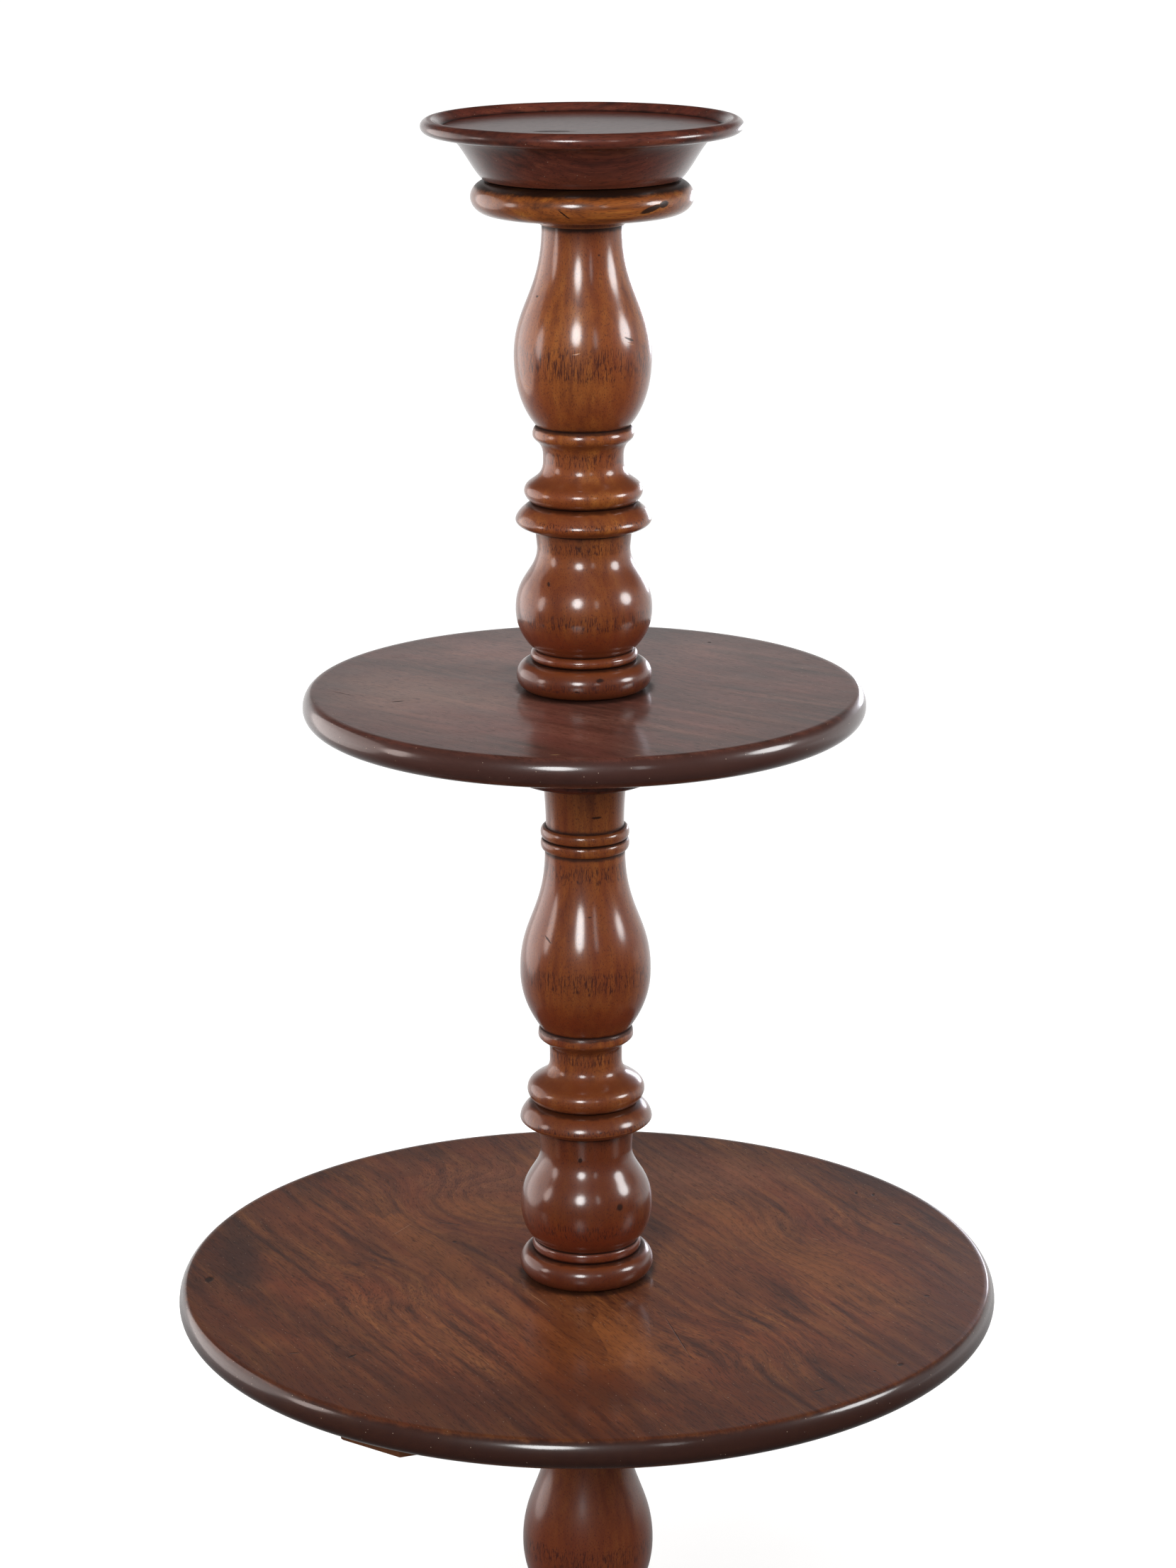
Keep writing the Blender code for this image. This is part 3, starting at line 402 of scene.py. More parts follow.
        # A wave's rings are 2 pi / 20 apart at scale 1
        scale = 2 * pi / 20 / self.ring_size
        squeezed = finish.add("Mapping", {"Vector": wood, "Scale": (1.0, 1.0, 0.12)})
        sockets = {"Vector": squeezed, "Scale": scale, "Distortion": self.ring_twist}
        sockets |= {"Detail": 2.0, "Detail Scale": 0.35}
        shape = {"wave_type": "RINGS", "rings_direction": "Z", "wave_profile": "SAW"}
        rings = finish.add("TexWave", sockets, **shape).outputs["Fac"]
        line = finish.math("MULTIPLY", finish.math("POWER", rings, 2.5), self.ring_strength)
        colour = finish.mix(line, colour, linear(self.dark))
        fine = finish.spots(wood, self.pore_size, 37.0 + self.seed, 1.0)
        pores = finish.span(fine, 0.56, 0.68, self.pore_strength)
        colour = finish.mix(pores, colour, linear(self.fleck))
        drawn_out = finish.span(finish.spots(wood, self.fleck_size, 53.0 + self.seed), 0.50, 0.62)
        if self.fleck_bands:
            tint, crowd = self.fleck_bands.colour, self.fleck_bands.mask(finish)
        else:
            patch = finish.spots(wood, self.fleck_patch, 71.0 + self.seed, 1.0)
            tint = self.fleck
            crowd = finish.span(patch, self.fleck_edge, self.fleck_edge + 0.1, self.fleck_strength)
        return finish.mix(finish.math("MULTIPLY", drawn_out, crowd), colour, linear(tint)), pores

    def weather(self, finish: Finish, colour: object, surface: Sequence[object]) -> Node:
        """End grain darkened by the stain it drinks, darker edges, grime and painted shade in the grooves,
        rubbed crowns and stray dust.

        Args:
            finish: the material under construction.
            colour: the wood's own colour.
            surface: how squarely it cuts the grain, how upright it is, how deep in a groove it lies, and how
                far it stands out.

        Returns:
            The colour with its age.
        """
        uneven = finish.math("MULTIPLY_ADD", finish.noise(finish.place, 7 * MM, 3.0), 0.5, -0.25)
        layers = (
            (self.dark, self.end_strength, 0.1, 0.75),
            (self.side, self.side_strength, 0.1, 0.4),
            # The grooves take the dark colour as grime and as painted shade
            (self.dirt, self.dirt_strength, 0.15, 0.75),
            (self.worn, self.worn_strength, 0.55, 1.1),
        )
        for mask, (tint, strength, low, high) in zip(surface, layers):
            if strength:
                share = finish.span(finish.math("ADD", mask, uneven), low, high, strength, shape="SMOOTHSTEP")
                colour = finish.mix(share, colour, linear(tint))
        if self.dust_strength:
            # Dust and pinholes that catch the light, drawn at 0.35 mm so that they show
            cells = finish.add("TexVoronoi", {"Vector": finish.place, "Scale": 1 / (5.5 * MM)})
            specks = finish.span(cells.outputs["Distance"], 0.065, 0.04, self.dust_strength)
            colour = finish.mix(specks, colour, linear(self.dust))
        return colour

    def relief(self, finish: Finish, pores: object, dents: object) -> tuple[Node, Node]:
        """The fine relief of the wood and the broader ripple of the polish.

        Args:
            finish: the material under construction.
            pores: the pores, which are hollow.
            dents: the marks, which are hollow too.

        Returns:
            The normal of the wood and that of the polish.
        """
        turns = (1 / (30 * MM), 1 / (30 * MM), 1 / (1.1 * MM))
        tooling = finish.noise(finish.add("Mapping", {"Vector": finish.place, "Scale": turns}), 1.0, 2.0)
        height = finish.math("ADD", tooling, finish.noise(finish.place, 2.2 * MM, 3.0))
        height = finish.math("MULTIPLY_ADD", finish.noise(finish.place, 28 * MM, 1.0), 12.0, height)
        height = finish.math("MULTIPLY_ADD", dents, -6.0, height)
        polish = finish.add("Bump", {"Distance": 0.010 * MM * self.ripple, "Height": height})
        rough = finish.math("MULTIPLY_ADD", pores, -3.0, height)
        return finish.add("Bump", {"Distance": 0.016 * MM * self.ripple, "Height": rough}), polish


@dataclass(frozen=True)
class OldMetal:
    """Cast or wrought metal with its age: dull tarnish, darker in hollows and rubbed bright on edges."""

    name: str
    bright: str
    dull: str
    dirt: str
    roughness: float
    tarnish: float
    grain: float
    pitting: float

    def material(self) -> Material:
        """Builds the finish.

        Returns:
            The material.
        """
        finish = Finish(self.name)
        hollow, crown = finish.split(finish.attribute("surface"))[1:]
        share = finish.span(finish.noise(finish.place, 6 * MM, 4.0, 0.6), 0.35, 0.65, self.tarnish)
        share = finish.math("MULTIPLY_ADD", crown, -0.8, share, clamp=True)
        dark = finish.span(hollow, 0.1, 0.6, 0.9)
        colour = finish.mix(share, linear(self.bright), linear(self.dull))
        colour = finish.mix(dark, colour, linear(self.dirt))
        rough = finish.math("MULTIPLY_ADD", share, 0.28, self.roughness)
        rough = finish.math("MULTIPLY_ADD", dark, 0.3, rough, clamp=True)
        pits = finish.noise(finish.place, self.grain, 2.0)
        bump = finish.add("Bump", {"Distance": self.pitting, "Height": pits})
        sockets = {"Base Color": colour, "Metallic": 1.0, "Roughness": rough, "Normal": bump}
        finish.add("OutputMaterial", {"Surface": finish.add("BsdfPrincipled", sockets)})
        return finish.material


# Outlines of turned pieces


@dataclass
class Outline:
    """The outline of a turned piece, drawn up its outside as (radius, height) in millimetres."""

    points: list[tuple[float, float]]

    def reach(self, radius: float, height: float) -> None:
        """Adds a point."""
        self.points.append((radius, height))

    def relief(self, reach: float) -> np.ndarray:
        """How hollow the outline is.

        Args:
            reach: how far along the outline to look either way, in millimetres.

        Returns:
            For each point 1 in a groove, 0 on a straight and -1 on a crown.
        """
        line = np.array(self.points)
        along = np.concatenate([[0.0], np.cumsum(np.hypot(*np.diff(line, axis=0).T))])
        ahead = np.stack([np.interp(along + reach, along, line[:, axis]) for axis in (0, 1)], axis=1)
        behind = np.stack([np.interp(along - reach, along, line[:, axis]) for axis in (0, 1)], axis=1)
        heading = ahead - behind
        normal = np.stack([heading[:, 1], -heading[:, 0]], axis=1)
        normal /= np.maximum(np.linalg.norm(normal, axis=1, keepdims=True), 1e-9)
        depth = (((ahead + behind) / 2 - line) * normal).sum(axis=1)
        return np.clip(depth / (reach * 0.35), -1, 1)


class Member(ABC):
    """One member of a turned outline. Its sizes are in millimetres."""

    @abstractmethod
    def draw(self, outline: Outline) -> None:
        """Carries the outline on over this member."""


@dataclass(frozen=True)
class Step(Member):
    """A straight line to a radius, this much higher."""

    radius: float
    rise: float = 0.0

    def draw(self, outline: Outline) -> None:
        """Adds the line."""
        outline.reach(self.radius, outline.points[-1][1] + self.rise)


@dataclass(frozen=True)
class Bead(Member):
    """A rounded ring from the present radius out to its crown and back to its end."""

    crown: float
    end: float
    rise: float
    steps: int = 18

    def draw(self, outline: Outline) -> None:
        """Adds the ring.

        Args:
            outline: the outline so far.
        """
        start_r, start_z = outline.points[-1]
        for step in range(1, self.steps + 1):
            turn = pi * step / self.steps
            root = start_r if turn < pi / 2 else self.end
            outline.reach(root + (self.crown - root) * sin(turn), start_z + self.rise * (1 - cos(turn)) / 2)


@dataclass(frozen=True)
class Curve(Member):
    """A cubic curve whose handles are shares of its change in radius and height."""

    end: float
    rise: float
    near: tuple[float, float]
    far: tuple[float, float]
    steps: int = 30

    def draw(self, outline: Outline) -> None:
        """Adds the curve.

        Args:
            outline: the outline so far.
        """
        start_r, start_z = outline.points[-1]
        for step in range(1, self.steps + 1):
            t = step / self.steps
            one, two, three = 3 * (1 - t) ** 2 * t, 3 * (1 - t) * t**2, t**3
            across = one * self.near[0] + two * self.far[0] + three
            up = one * self.near[1] + two * self.far[1] + three
            outline.reach(start_r + (self.end - start_r) * across, start_z + self.rise * up)


@dataclass(frozen=True)
class Nose(Member):
    """The rounded edge of a board, which meets both of its faces at a low arris."""

    radius: float
    under: float
    over: float
    rise: float
    sweep: float = radians(80)
    steps: int = 26

    def draw(self, outline: Outline) -> None:
        """Adds the edge.

        Args:
            outline: the outline so far.
        """
        start_z = outline.points[-1][1]
        for step in range(1, self.steps + 1):
            angle = self.sweep * (2 * step / self.steps - 1)
            out = (cos(angle) - cos(self.sweep)) / (1 - cos(self.sweep))
            up = (1 + sin(angle) / sin(self.sweep)) / 2
            depth = self.under if angle < 0 else self.over
            outline.reach(self.radius - depth * (1 - out), start_z + self.rise * up)


def swell(end: float, rise: float, start_hold: float, end_hold: float) -> Curve:
    """An S-curve that leaves and ends parallel to the axis."""
    return Curve(end, rise, (0, start_hold), (1, 1 - end_hold))


def flare(end: float, rise: float, spread: float = 0.55, hold: float = 0.45) -> Curve:
    """The foot of a vase: it leaves at a slope and ends parallel to the axis."""
    return Curve(end, rise, (spread, 0.20), (1, 1 - hold))


def drawn(start: tuple[float, float], members: Sequence[Member]) -> Outline:
    """Draws members one on the other.

    Args:
        start: radius and height of the first point, in millimetres.
        members: what follows.

    Returns:
        The outline.
    """
    outline = Outline([start])
    for member in members:
        member.draw(outline)
    return outline


# The bench: tools that the pieces are made with


@contextmanager
def editing() -> Iterator[None]:
    """Edit mode on the active object, with all of its vertices selected."""
    bpy.ops.object.mode_set(mode="EDIT")
    bpy.ops.mesh.select_mode(type="VERT")
    bpy.ops.mesh.select_all(action="SELECT")
    yield
    bpy.ops.object.mode_set(mode="OBJECT")


def hold(obj: Object) -> None:
    """Makes an object the only one that operators act on.

    Args:
        obj: the object.
    """
    bpy.ops.object.select_all(action="DESELECT")
    obj.select_set(True)
    bpy.context.view_layer.objects.active = obj


def scribe(name: str, points: Sequence[Sequence[float]], closed: bool = False) -> Object:
    """Starts a mesh at one point and extrudes it from point to point.

    Args:
        name: the object's name.
        points: where the line goes, in metres.
        closed: joins the last point to the first and fills the outline.

    Returns:
        The object.
    """
    bpy.ops.object.select_all(action="DESELECT")
    bpy.ops.mesh.primitive_plane_add(size=MM, location=points[0])
    obj = bpy.context.active_object
    obj.name = obj.data.name = name
    bpy.ops.object.transform_apply(location=True, rotation=False, scale=False)
    with editing():
        bpy.ops.mesh.merge(type="CENTER")
        for here, there in zip(points, points[1:]):
            shift = Vector(there) - Vector(here)
            bpy.ops.mesh.extrude_region_move(TRANSFORM_OT_translate={"value": shift})
        if closed:
            bpy.ops.mesh.select_all(action="SELECT")
            bpy.ops.mesh.edge_face_add()
    return obj


def turn_on_lathe(name: str, outline: Outline, segments: int, place: Vector = ORIGIN) -> Object:
    """Turns an outline about an upright axis.

    Args:
        name: the object's name.
        outline: its outside.
        segments: how many faces go round.
        place: where the outline's origin stands.

    Returns:
        The closed piece, smooth but for its arrises.
    """
    line = [(place.x + radius * MM, place.y, place.z + height * MM) for radius, height in outline.points]
    if outline.points[0][0] > 0:
        line.append(line[0])
    obj = scribe(name, line)
    with editing():
        bpy.ops.mesh.spin(steps=segments, angle=2 * pi, center=place, axis=UP)
        bpy.ops.mesh.select_all(action="SELECT")
        bpy.ops.mesh.remove_doubles(threshold=MERGE)
        bpy.ops.mesh.normals_make_consistent(inside=False)
    smooth(obj)
    return obj


def smooth(obj: Object) -> None:
    """Smooths a piece except at its arrises."""
    hold(obj)
    bpy.ops.object.shade_smooth_by_angle(angle=SMOOTH_ANGLE)


class Part(Enum):
    """What is picked on a mesh."""

    VERT = "verts"
    EDGE = "edges"


def select_where(part: Part, test: Callable[[Vector], bool]) -> None:
    """Selects only what lies in the right place. Edit mode has to be on.

    Args:
        part: what is picked.
        test: says of a place whether it counts; an edge counts when both of its ends do.
    """
    bpy.ops.mesh.select_mode(type=part.name)
    bpy.ops.mesh.select_all(action="DESELECT")
    mesh = bmesh.from_edit_mesh(bpy.context.object.data)
    for item in getattr(mesh, part.value):
        places = [item.co] if part is Part.VERT else [vert.co for vert in item.verts]
        if all(test(place) for place in places):
            item.select_set(True)
    mesh.select_flush_mode()
    bmesh.update_edit_mesh(bpy.context.object.data)


def beside(*points: Vector) -> Callable[[Vector], bool]:
    """A test of whether a place, seen from the side, is one of these points."""
    return lambda place: min((place.xz - point.xz).length for point in points) < MM / 50


def plane_up(name: str, outline: Sequence[Sequence[float]], rise: Vector) -> Object:
    """Cuts a flat outline from a board.

    Args:
        name: the object's name.
        outline: its corners in one plane, in metres.
        rise: the board's thickness and direction.

    Returns:
        The closed prism.
    """
    obj = scribe(name, outline, closed=True)
    with editing():
        bpy.ops.mesh.extrude_region_move(TRANSFORM_OT_translate={"value": rise})
        bpy.ops.mesh.select_all(action="SELECT")
        bpy.ops.mesh.normals_make_consistent(inside=False)
    return obj


def ease_edges(obj: Object, width: float, segments: int, test: Callable[[Vector], bool]) -> None:
    """Rounds some of a piece's edges.

    Args:
        obj: the piece.
        width: how far the rounding reaches on either side of an edge.
        segments: how many faces make it up.
        test: says of a place whether it counts; an edge is rounded when both of its ends do.
    """
    hold(obj)
    with editing():
        select_where(Part.EDGE, test)
        bpy.ops.mesh.bevel(offset=width, segments=segments, affect="EDGES")


class Joinery(Enum):
    """How one solid works on another."""

    CUT = "DIFFERENCE"
    GLUE = "UNION"


def work(obj: Object, tool: Object, how: Joinery) -> None:
    """Cuts or glues one solid with another, which is used up.

    Args:
        obj: the piece.
        tool: the cutter, or what is glued on.
        how: which of the two.
    """
    hold(obj)
    modifier = obj.modifiers.new(how.name.lower(), "BOOLEAN")
    modifier.object, modifier.operation, modifier.solver = tool, how.value, "EXACT"
    bpy.ops.object.modifier_apply(modifier=modifier.name)
    bpy.data.objects.remove(tool)


def subdivide_smooth(obj: Object) -> None:
    """Applies one level of a subdivision surface.

    Args:
        obj: the piece.
    """
    hold(obj)
    modifier = obj.modifiers.new("rounding", "SUBSURF")
    modifier.levels = modifier.render_levels = 1
    bpy.ops.object.modifier_apply(modifier=modifier.name)


def copy_of(master: Object, name: str, matrix: Matrix) -> Object:
    """A copy with a mesh of its own, at another place.

    Args:
        master: the piece that was modelled.
        name: the copy's name.
        matrix: where the master's frame goes.

    Returns:
        The copy, whose place is in its mesh.
    """
    hold(master)
    bpy.ops.object.duplicate(linked=False)
    obj = bpy.context.active_object
    obj.name = obj.data.name = name
    obj.matrix_world = matrix
    bpy.ops.object.transform_apply(location=True, rotation=True, scale=True)
    return obj


def clear_away(*models: Object) -> None:
    """Removes what was only made to be copied."""
    for model in models:
        bpy.data.objects.remove(model)


@dataclass(frozen=True)
class Plank:
    """How a piece lies in the plank it was cut from."""

    grain: Vector
    face: Vector
    pith: tuple[float, float, float]

    def stamp(self, obj: Object, outline: Outline | None = None) -> None:
        """Writes each vertex's place in the plank, and how its surface lies, as attributes.

        Args:
            obj: the finished piece.
            outline: its outline, if it was turned.
        """
        mesh = obj.data
        count = len(mesh.vertices)
        spots_flat = np.empty(count * 3, np.float32)
        mesh.vertices.foreach_get("co", spots_flat)
        places = spots_flat.reshape(-1, 3)
        normals = np.array([vert.normal for vert in mesh.vertices], np.float32)
        grain = self.grain.normalized()
        side = self.face.cross(grain).normalized()
        axes = np.array([side, grain.cross(side), grain], np.float32)
        inside = places @ axes.T + np.array(self.pith, np.float32)
        end = (normals @ np.array(grain)) ** 2
        relief = turned_relief(places, outline) if outline else sawn_relief(mesh)
        surface = np.stack([end, np.clip(relief, 0, 1), np.clip(-relief, 0, 1)], axis=1)
        for name, values in (("plank", inside), ("surface", surface)):
            attribute = mesh.attributes.get(name) or mesh.attributes.new(name, "FLOAT_VECTOR", "POINT")
            attribute.data.foreach_set("vector", np.ascontiguousarray(values, np.float32).ravel())


def turned_relief(places: np.ndarray, outline: Outline) -> np.ndarray:
    """How hollow a turned piece is at each vertex.

    Args:
        places: the vertices.
        outline: the piece's outline.

    Returns:
        1 in a groove, -1 on a crown.
    """
    line = np.array(outline.points) * MM
    relief = np.maximum(outline.relief(1.6), 0.45 * outline.relief(4.5))
    crown = np.minimum(outline.relief(1.2), 0)
    relief = np.where(relief > 0.02, relief, crown)
    flat = np.stack([np.hypot(places[:, 0], places[:, 1]), places[:, 2]], axis=1)
    found = np.empty(len(flat), int)
    size = 4096
    for start in range(0, len(flat), size):
        block = flat[start : start + size]
        found[start : start + size] = ((block[:, None] - line[None]) ** 2).sum(axis=2).argmin(axis=1)
    return relief[found]


def sawn_relief(mesh: bpy.types.Mesh) -> np.ndarray:
    """How hollow a sawn, bevelled or cast piece is at each vertex, from its edges' angles.

    Args:
        mesh: the piece's mesh.

    Returns:
        1 in a corner, -1 on an edge.
    """
    shape = bmesh.new()
    shape.from_mesh(mesh)
    relief = np.zeros(len(shape.verts))
    for vert in shape.verts:
        angles = [edge.calc_face_angle_signed(0.0) for edge in vert.link_edges]
        if angles:
            relief[vert.index] = -max(angles) if max(angles) > -min(angles) else -min(angles)
    shape.free()
    return np.clip(relief / radians(40), -1, 1)


def polar(radius: float, angle: float, height: float = 0.0) -> Vector:
    """A place at a radius and angle round the column's axis."""
    return Vector((radius * cos(angle), radius * sin(angle), height))


def foot(node: str) -> float:
    """The height of a CAD node's underside."""
    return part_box(node)[0].z


def rectangle(half_x: float, half_y: float, height: float) -> list[tuple[float, float, float]]:
    """The corners of a level rectangle about the axis, from its half sizes."""
    return [(half_x * x, half_y * y, height) for x, y in ((-1, -1), (1, -1), (1, 1), (-1, 1))]


def rod(
    name: str, radius: float, low: float, rise: float, segments: int, place: Vector = ORIGIN
) -> Object:
    """Turns a plain round rod, for a peg, a hole or a shoulder. Its sizes are in millimetres."""
    outline = drawn((0.0, low), (Step(radius), Step(radius, rise), Step(0.0)))
    return turn_on_lathe(name, outline, segments, place)


# Finishes of this object


LOWER_TOP = 0.5629
MIDDLE_TOP = 1.0140


def round_column(*bands: tuple[float, float]) -> tuple[Mark, ...]:
    """Bands round the column, each by its height and half its width in millimetres."""
    return tuple(Mark((0.0, 0.0, height * MM), (0.2, 0.2, half * MM)) for height, half in bands)


def on_turning(*rows: tuple[float, ...]) -> tuple[Mark, ...]:
    """Marks on a turned piece.

    Args:
        rows: for each mark its place, its half sizes and its slant, in millimetres and degrees.

    Returns:
        The marks.
    """
    return tuple(
        Mark((x * MM, y * MM, z * MM), (wide * MM, deep * MM, tall * MM), (0.0, radians(slant), 0.0))
        for x, y, z, wide, deep, tall, slant in rows
    )


def on_tier(top: float, *rows: tuple[float, ...]) -> tuple[Mark, ...]:
    """Marks on a tier's top.

    Args:
        top: the height of the tier's top in metres.
        rows: for each mark its centre, length, width and turn, in millimetres and degrees.

    Returns:
        The marks.
    """
    return tuple(
        Mark((x * MM, y * MM, top), (long * MM / 2, wide * MM / 2, 3 * MM), (0.0, 0.0, radians(turn)))
        for x, y, long, wide, turn in rows
    )


on_lower = partial(on_tier, LOWER_TOP)
on_middle = partial(on_tier, MIDDLE_TOP)

# Where a curve bares the column's end grain, its open pores show as a crowd of short dark flecks
FLECK_BANDS = Stain("3a1812", 0.9, 0.5, round_column(
    (1255, 15), (1184.5, 6), (1140.5, 3), (1121.5, 5), (1071, 8), (1024, 4),
    (880, 8), (804, 11), (739, 7), (688.5, 3), (611, 8), (346, 11),
), 0.9, 7 * MM)

# Painted shade: the column darkens towards the floor, under each tier, on the toruses and bulbs near the
# tiers, and at the feet of its vases and bulbs
COLUMN_PAINTED_SHADE = (
    Stain("54241a", 0.50, 0.9, (Mark((0.0, 0.0, 0.15), (0.45, 0.45, 0.95)),), 0.1, 40 * MM),
    Stain("4a1d10", 0.80, 0.6, round_column((1020, 26), (569, 26)), 0.3, 8 * MM),
    Stain("602912", 0.55, 0.5, round_column((1072, 56), (622, 60)), 0.3, 14 * MM),
    Stain("6a2c12", 0.40, 0.5, round_column((825, 95), (345, 90)), 0.4, 30 * MM),
    Stain("471b0c", 0.40, 0.5, round_column((640, 90)), 0.3, 20 * MM),
    Stain("7c3818", 0.50, 0.9, round_column((1219, 22)), 0.4, 10 * MM),
    Stain("6a2813", 0.75, 0.9, round_column((1052, 20), (770, 22), (602, 24), (325, 22)), 0.4, 10 * MM),
)

# Grime and painted shade in the grooves, dents and bruises gone dark, and pale scratches
COLUMN_MARKS_AND_GROOVE_SHADE = (
    # Dark bands at the grooves: grime, and painted shade under the rings
    Stain("1c0c08", 0.70, 0.6, round_column(
        (1205, 1.8), (1150.6, 3), (1036, 1.6), (902.5, 1.8), (756.6, 2.4), (700, 3.2), (584, 1.8),
    ), 0.8, 5 * MM),
    Stain("1b0d0a", 0.85, 0.5, on_turning(
        (32.0, -32.8, 1272.2, 5.2, 9, 0.9, 27), (-31.6, -17.1, 1300.1, 1.6, 9, 0.9, -40),
        (11.4, -26.6, 1329.6, 1.0, 6, 1.0, 0), (-24.9, -32.6, 1097.6, 1.3, 6, 1.8, 0),
        (-26.8, -31.7, 833.8, 4.8, 9, 0.8, 44), (3.3, -35.1, 851.6, 1.8, 5, 0.7, 0),
        (-4.6, -33.3, 663.5, 2.1, 6, 2.6, 0), (24.5, -40.4, 629.5, 3.0, 8, 3.4, 0),
        (8.5, -27.5, 924.1, 4.8, 6, 1.2, 0), (11.0, -44.6, 1030.4, 3.6, 6, 1.8, 0),
        (-5.1, -46.8, 1022.6, 2.2, 6, 0.8, 0),
    )),
    Stain("c08a62", 0.55, 0.6, on_turning(
        (-4.6, -46.5, 1264.0, 4.2, 9, 0.5, -12), (33.0, -33.0, 1269.0, 4.0, 9, 0.4, 25),
        (-38.4, -26.0, 1237.7, 6.0, 9, 0.4, 18),
    )),
)

# The lower tier's warmer and darker fields of figure, a painted reflection of the column in front of it, and
# a painted sheen at its back
LOWER_FIGURE_SHEEN_AND_REFLECTION = (
    # Painted reflection: the column's warm image on the tier in front of its foot
    Stain("6c370f", 0.60, 0.8, on_lower((-5, -180, 140, 230, 0)), 0.4, 20 * MM),
    Stain("90552b", 0.60, 0.9, on_lower(
        (150, 40, 400, 90, -55), (-120, 40, 300, 60, -66), (-80, 130, 120, 70, -20), (20, -120, 240, 80, -70),
    ), 1.4, 26 * MM),
    # Painted sheen: a paler, pinker band at the back, where the top mirrors the white sweep
    Stain("8c5a42", 0.50, 0.9, on_lower((20, 190, 420, 150, 0)), 0.9, 26 * MM),
    Stain("4a2418", 0.55, 0.9, on_lower(
        (-20, -215, 400, 110, 4), (-190, -110, 230, 90, -50), (40, 90, 120, 60, -50),
    ), 0.9, 36 * MM),
    Stain("3d2a25", 0.70, 0.8, on_lower((230, 185, 130, 70, -50), (-262, 30, 220, 50, -80)), 0.6, 30 * MM),
)

# Its dark spots and cracks, the painted shadow round the column's foot, and its pale scratches
LOWER_MARKS_AND_FOOT_SHADOW = (
    Stain("1d0f0b", 0.85, 0.5, on_lower(
        (-106, 95, 25, 1.6, -17), (-101, 57.5, 4.4, 4.4, 0), (-209, -151, 10, 2.2, 10),
        (-167.5, -157, 12, 3, 50), (162, -219, 14, 2.5, 30), (222, -176, 7, 5, 40), (203, -187, 3, 3, 0),
        (213, 156, 8, 3, 80), (226, 152, 8, 3, 80), (251, -52, 5, 4, 0), (240, 90, 10, 4, -30),
        (-282, -15, 14, 8, 80), (65, -124, 90, 1.1, -77),
    )),
    # Painted shadow: a dark ring on the tier round the column's foot
    Stain("1d0f0b", 0.75, 0.12, on_lower((0, 0, 108, 108, 0)), 0.1),
    Stain("9a7358", 0.60, 0.6, on_lower(
        (-35, -57, 40, 1, -60), (175, 60, 8, 1.6, -20), (-142, 84, 36, 1, 59),
    )),
)

# The middle tier's painted pinkish sheen on its left and at its back, and its darker fields of figure
MIDDLE_FIGURE_AND_SHEEN = (
    # Painted sheen: pinkish patches on the left and at the back, where the top mirrors the white sweep
    Stain("8f6959", 0.65, 0.9, on_middle((-120, -10, 240, 170, -40)), 0.7, 28 * MM),
    Stain("96675a", 0.65, 0.9, on_middle((0, 115, 360, 170, 0)), 0.9, 24 * MM),
    Stain("74463c", 0.60, 0.9, on_middle(
        (-95, -70, 130, 60, -40), (95, -30, 150, 45, -40), (60, 110, 120, 50, -45),
    ), 0.8, 28 * MM),
)

# The middle tier's dark spots, the painted shadow round the column's foot, and its pale scratches
MIDDLE_MARKS_AND_FOOT_SHADOW = (
    Stain("1d0f0b", 0.85, 0.5, on_middle(
        (-133, -38.5, 12, 3, 20), (94.5, 138, 4, 4, 0), (-174, -14, 30, 1.2, -40),
    )),
    # Painted shadow: a dark ring on the tier round the column's foot
    Stain("1d0f0b", 0.75, 0.12, on_middle((0, 0, 106, 106, 0)), 0.1),
    Stain("a98a5c", 0.55, 0.6, on_middle((157, -136, 8, 2, 30), (-20, -186, 9, 2, 5), (36, -188, 6, 2, -8))),
)


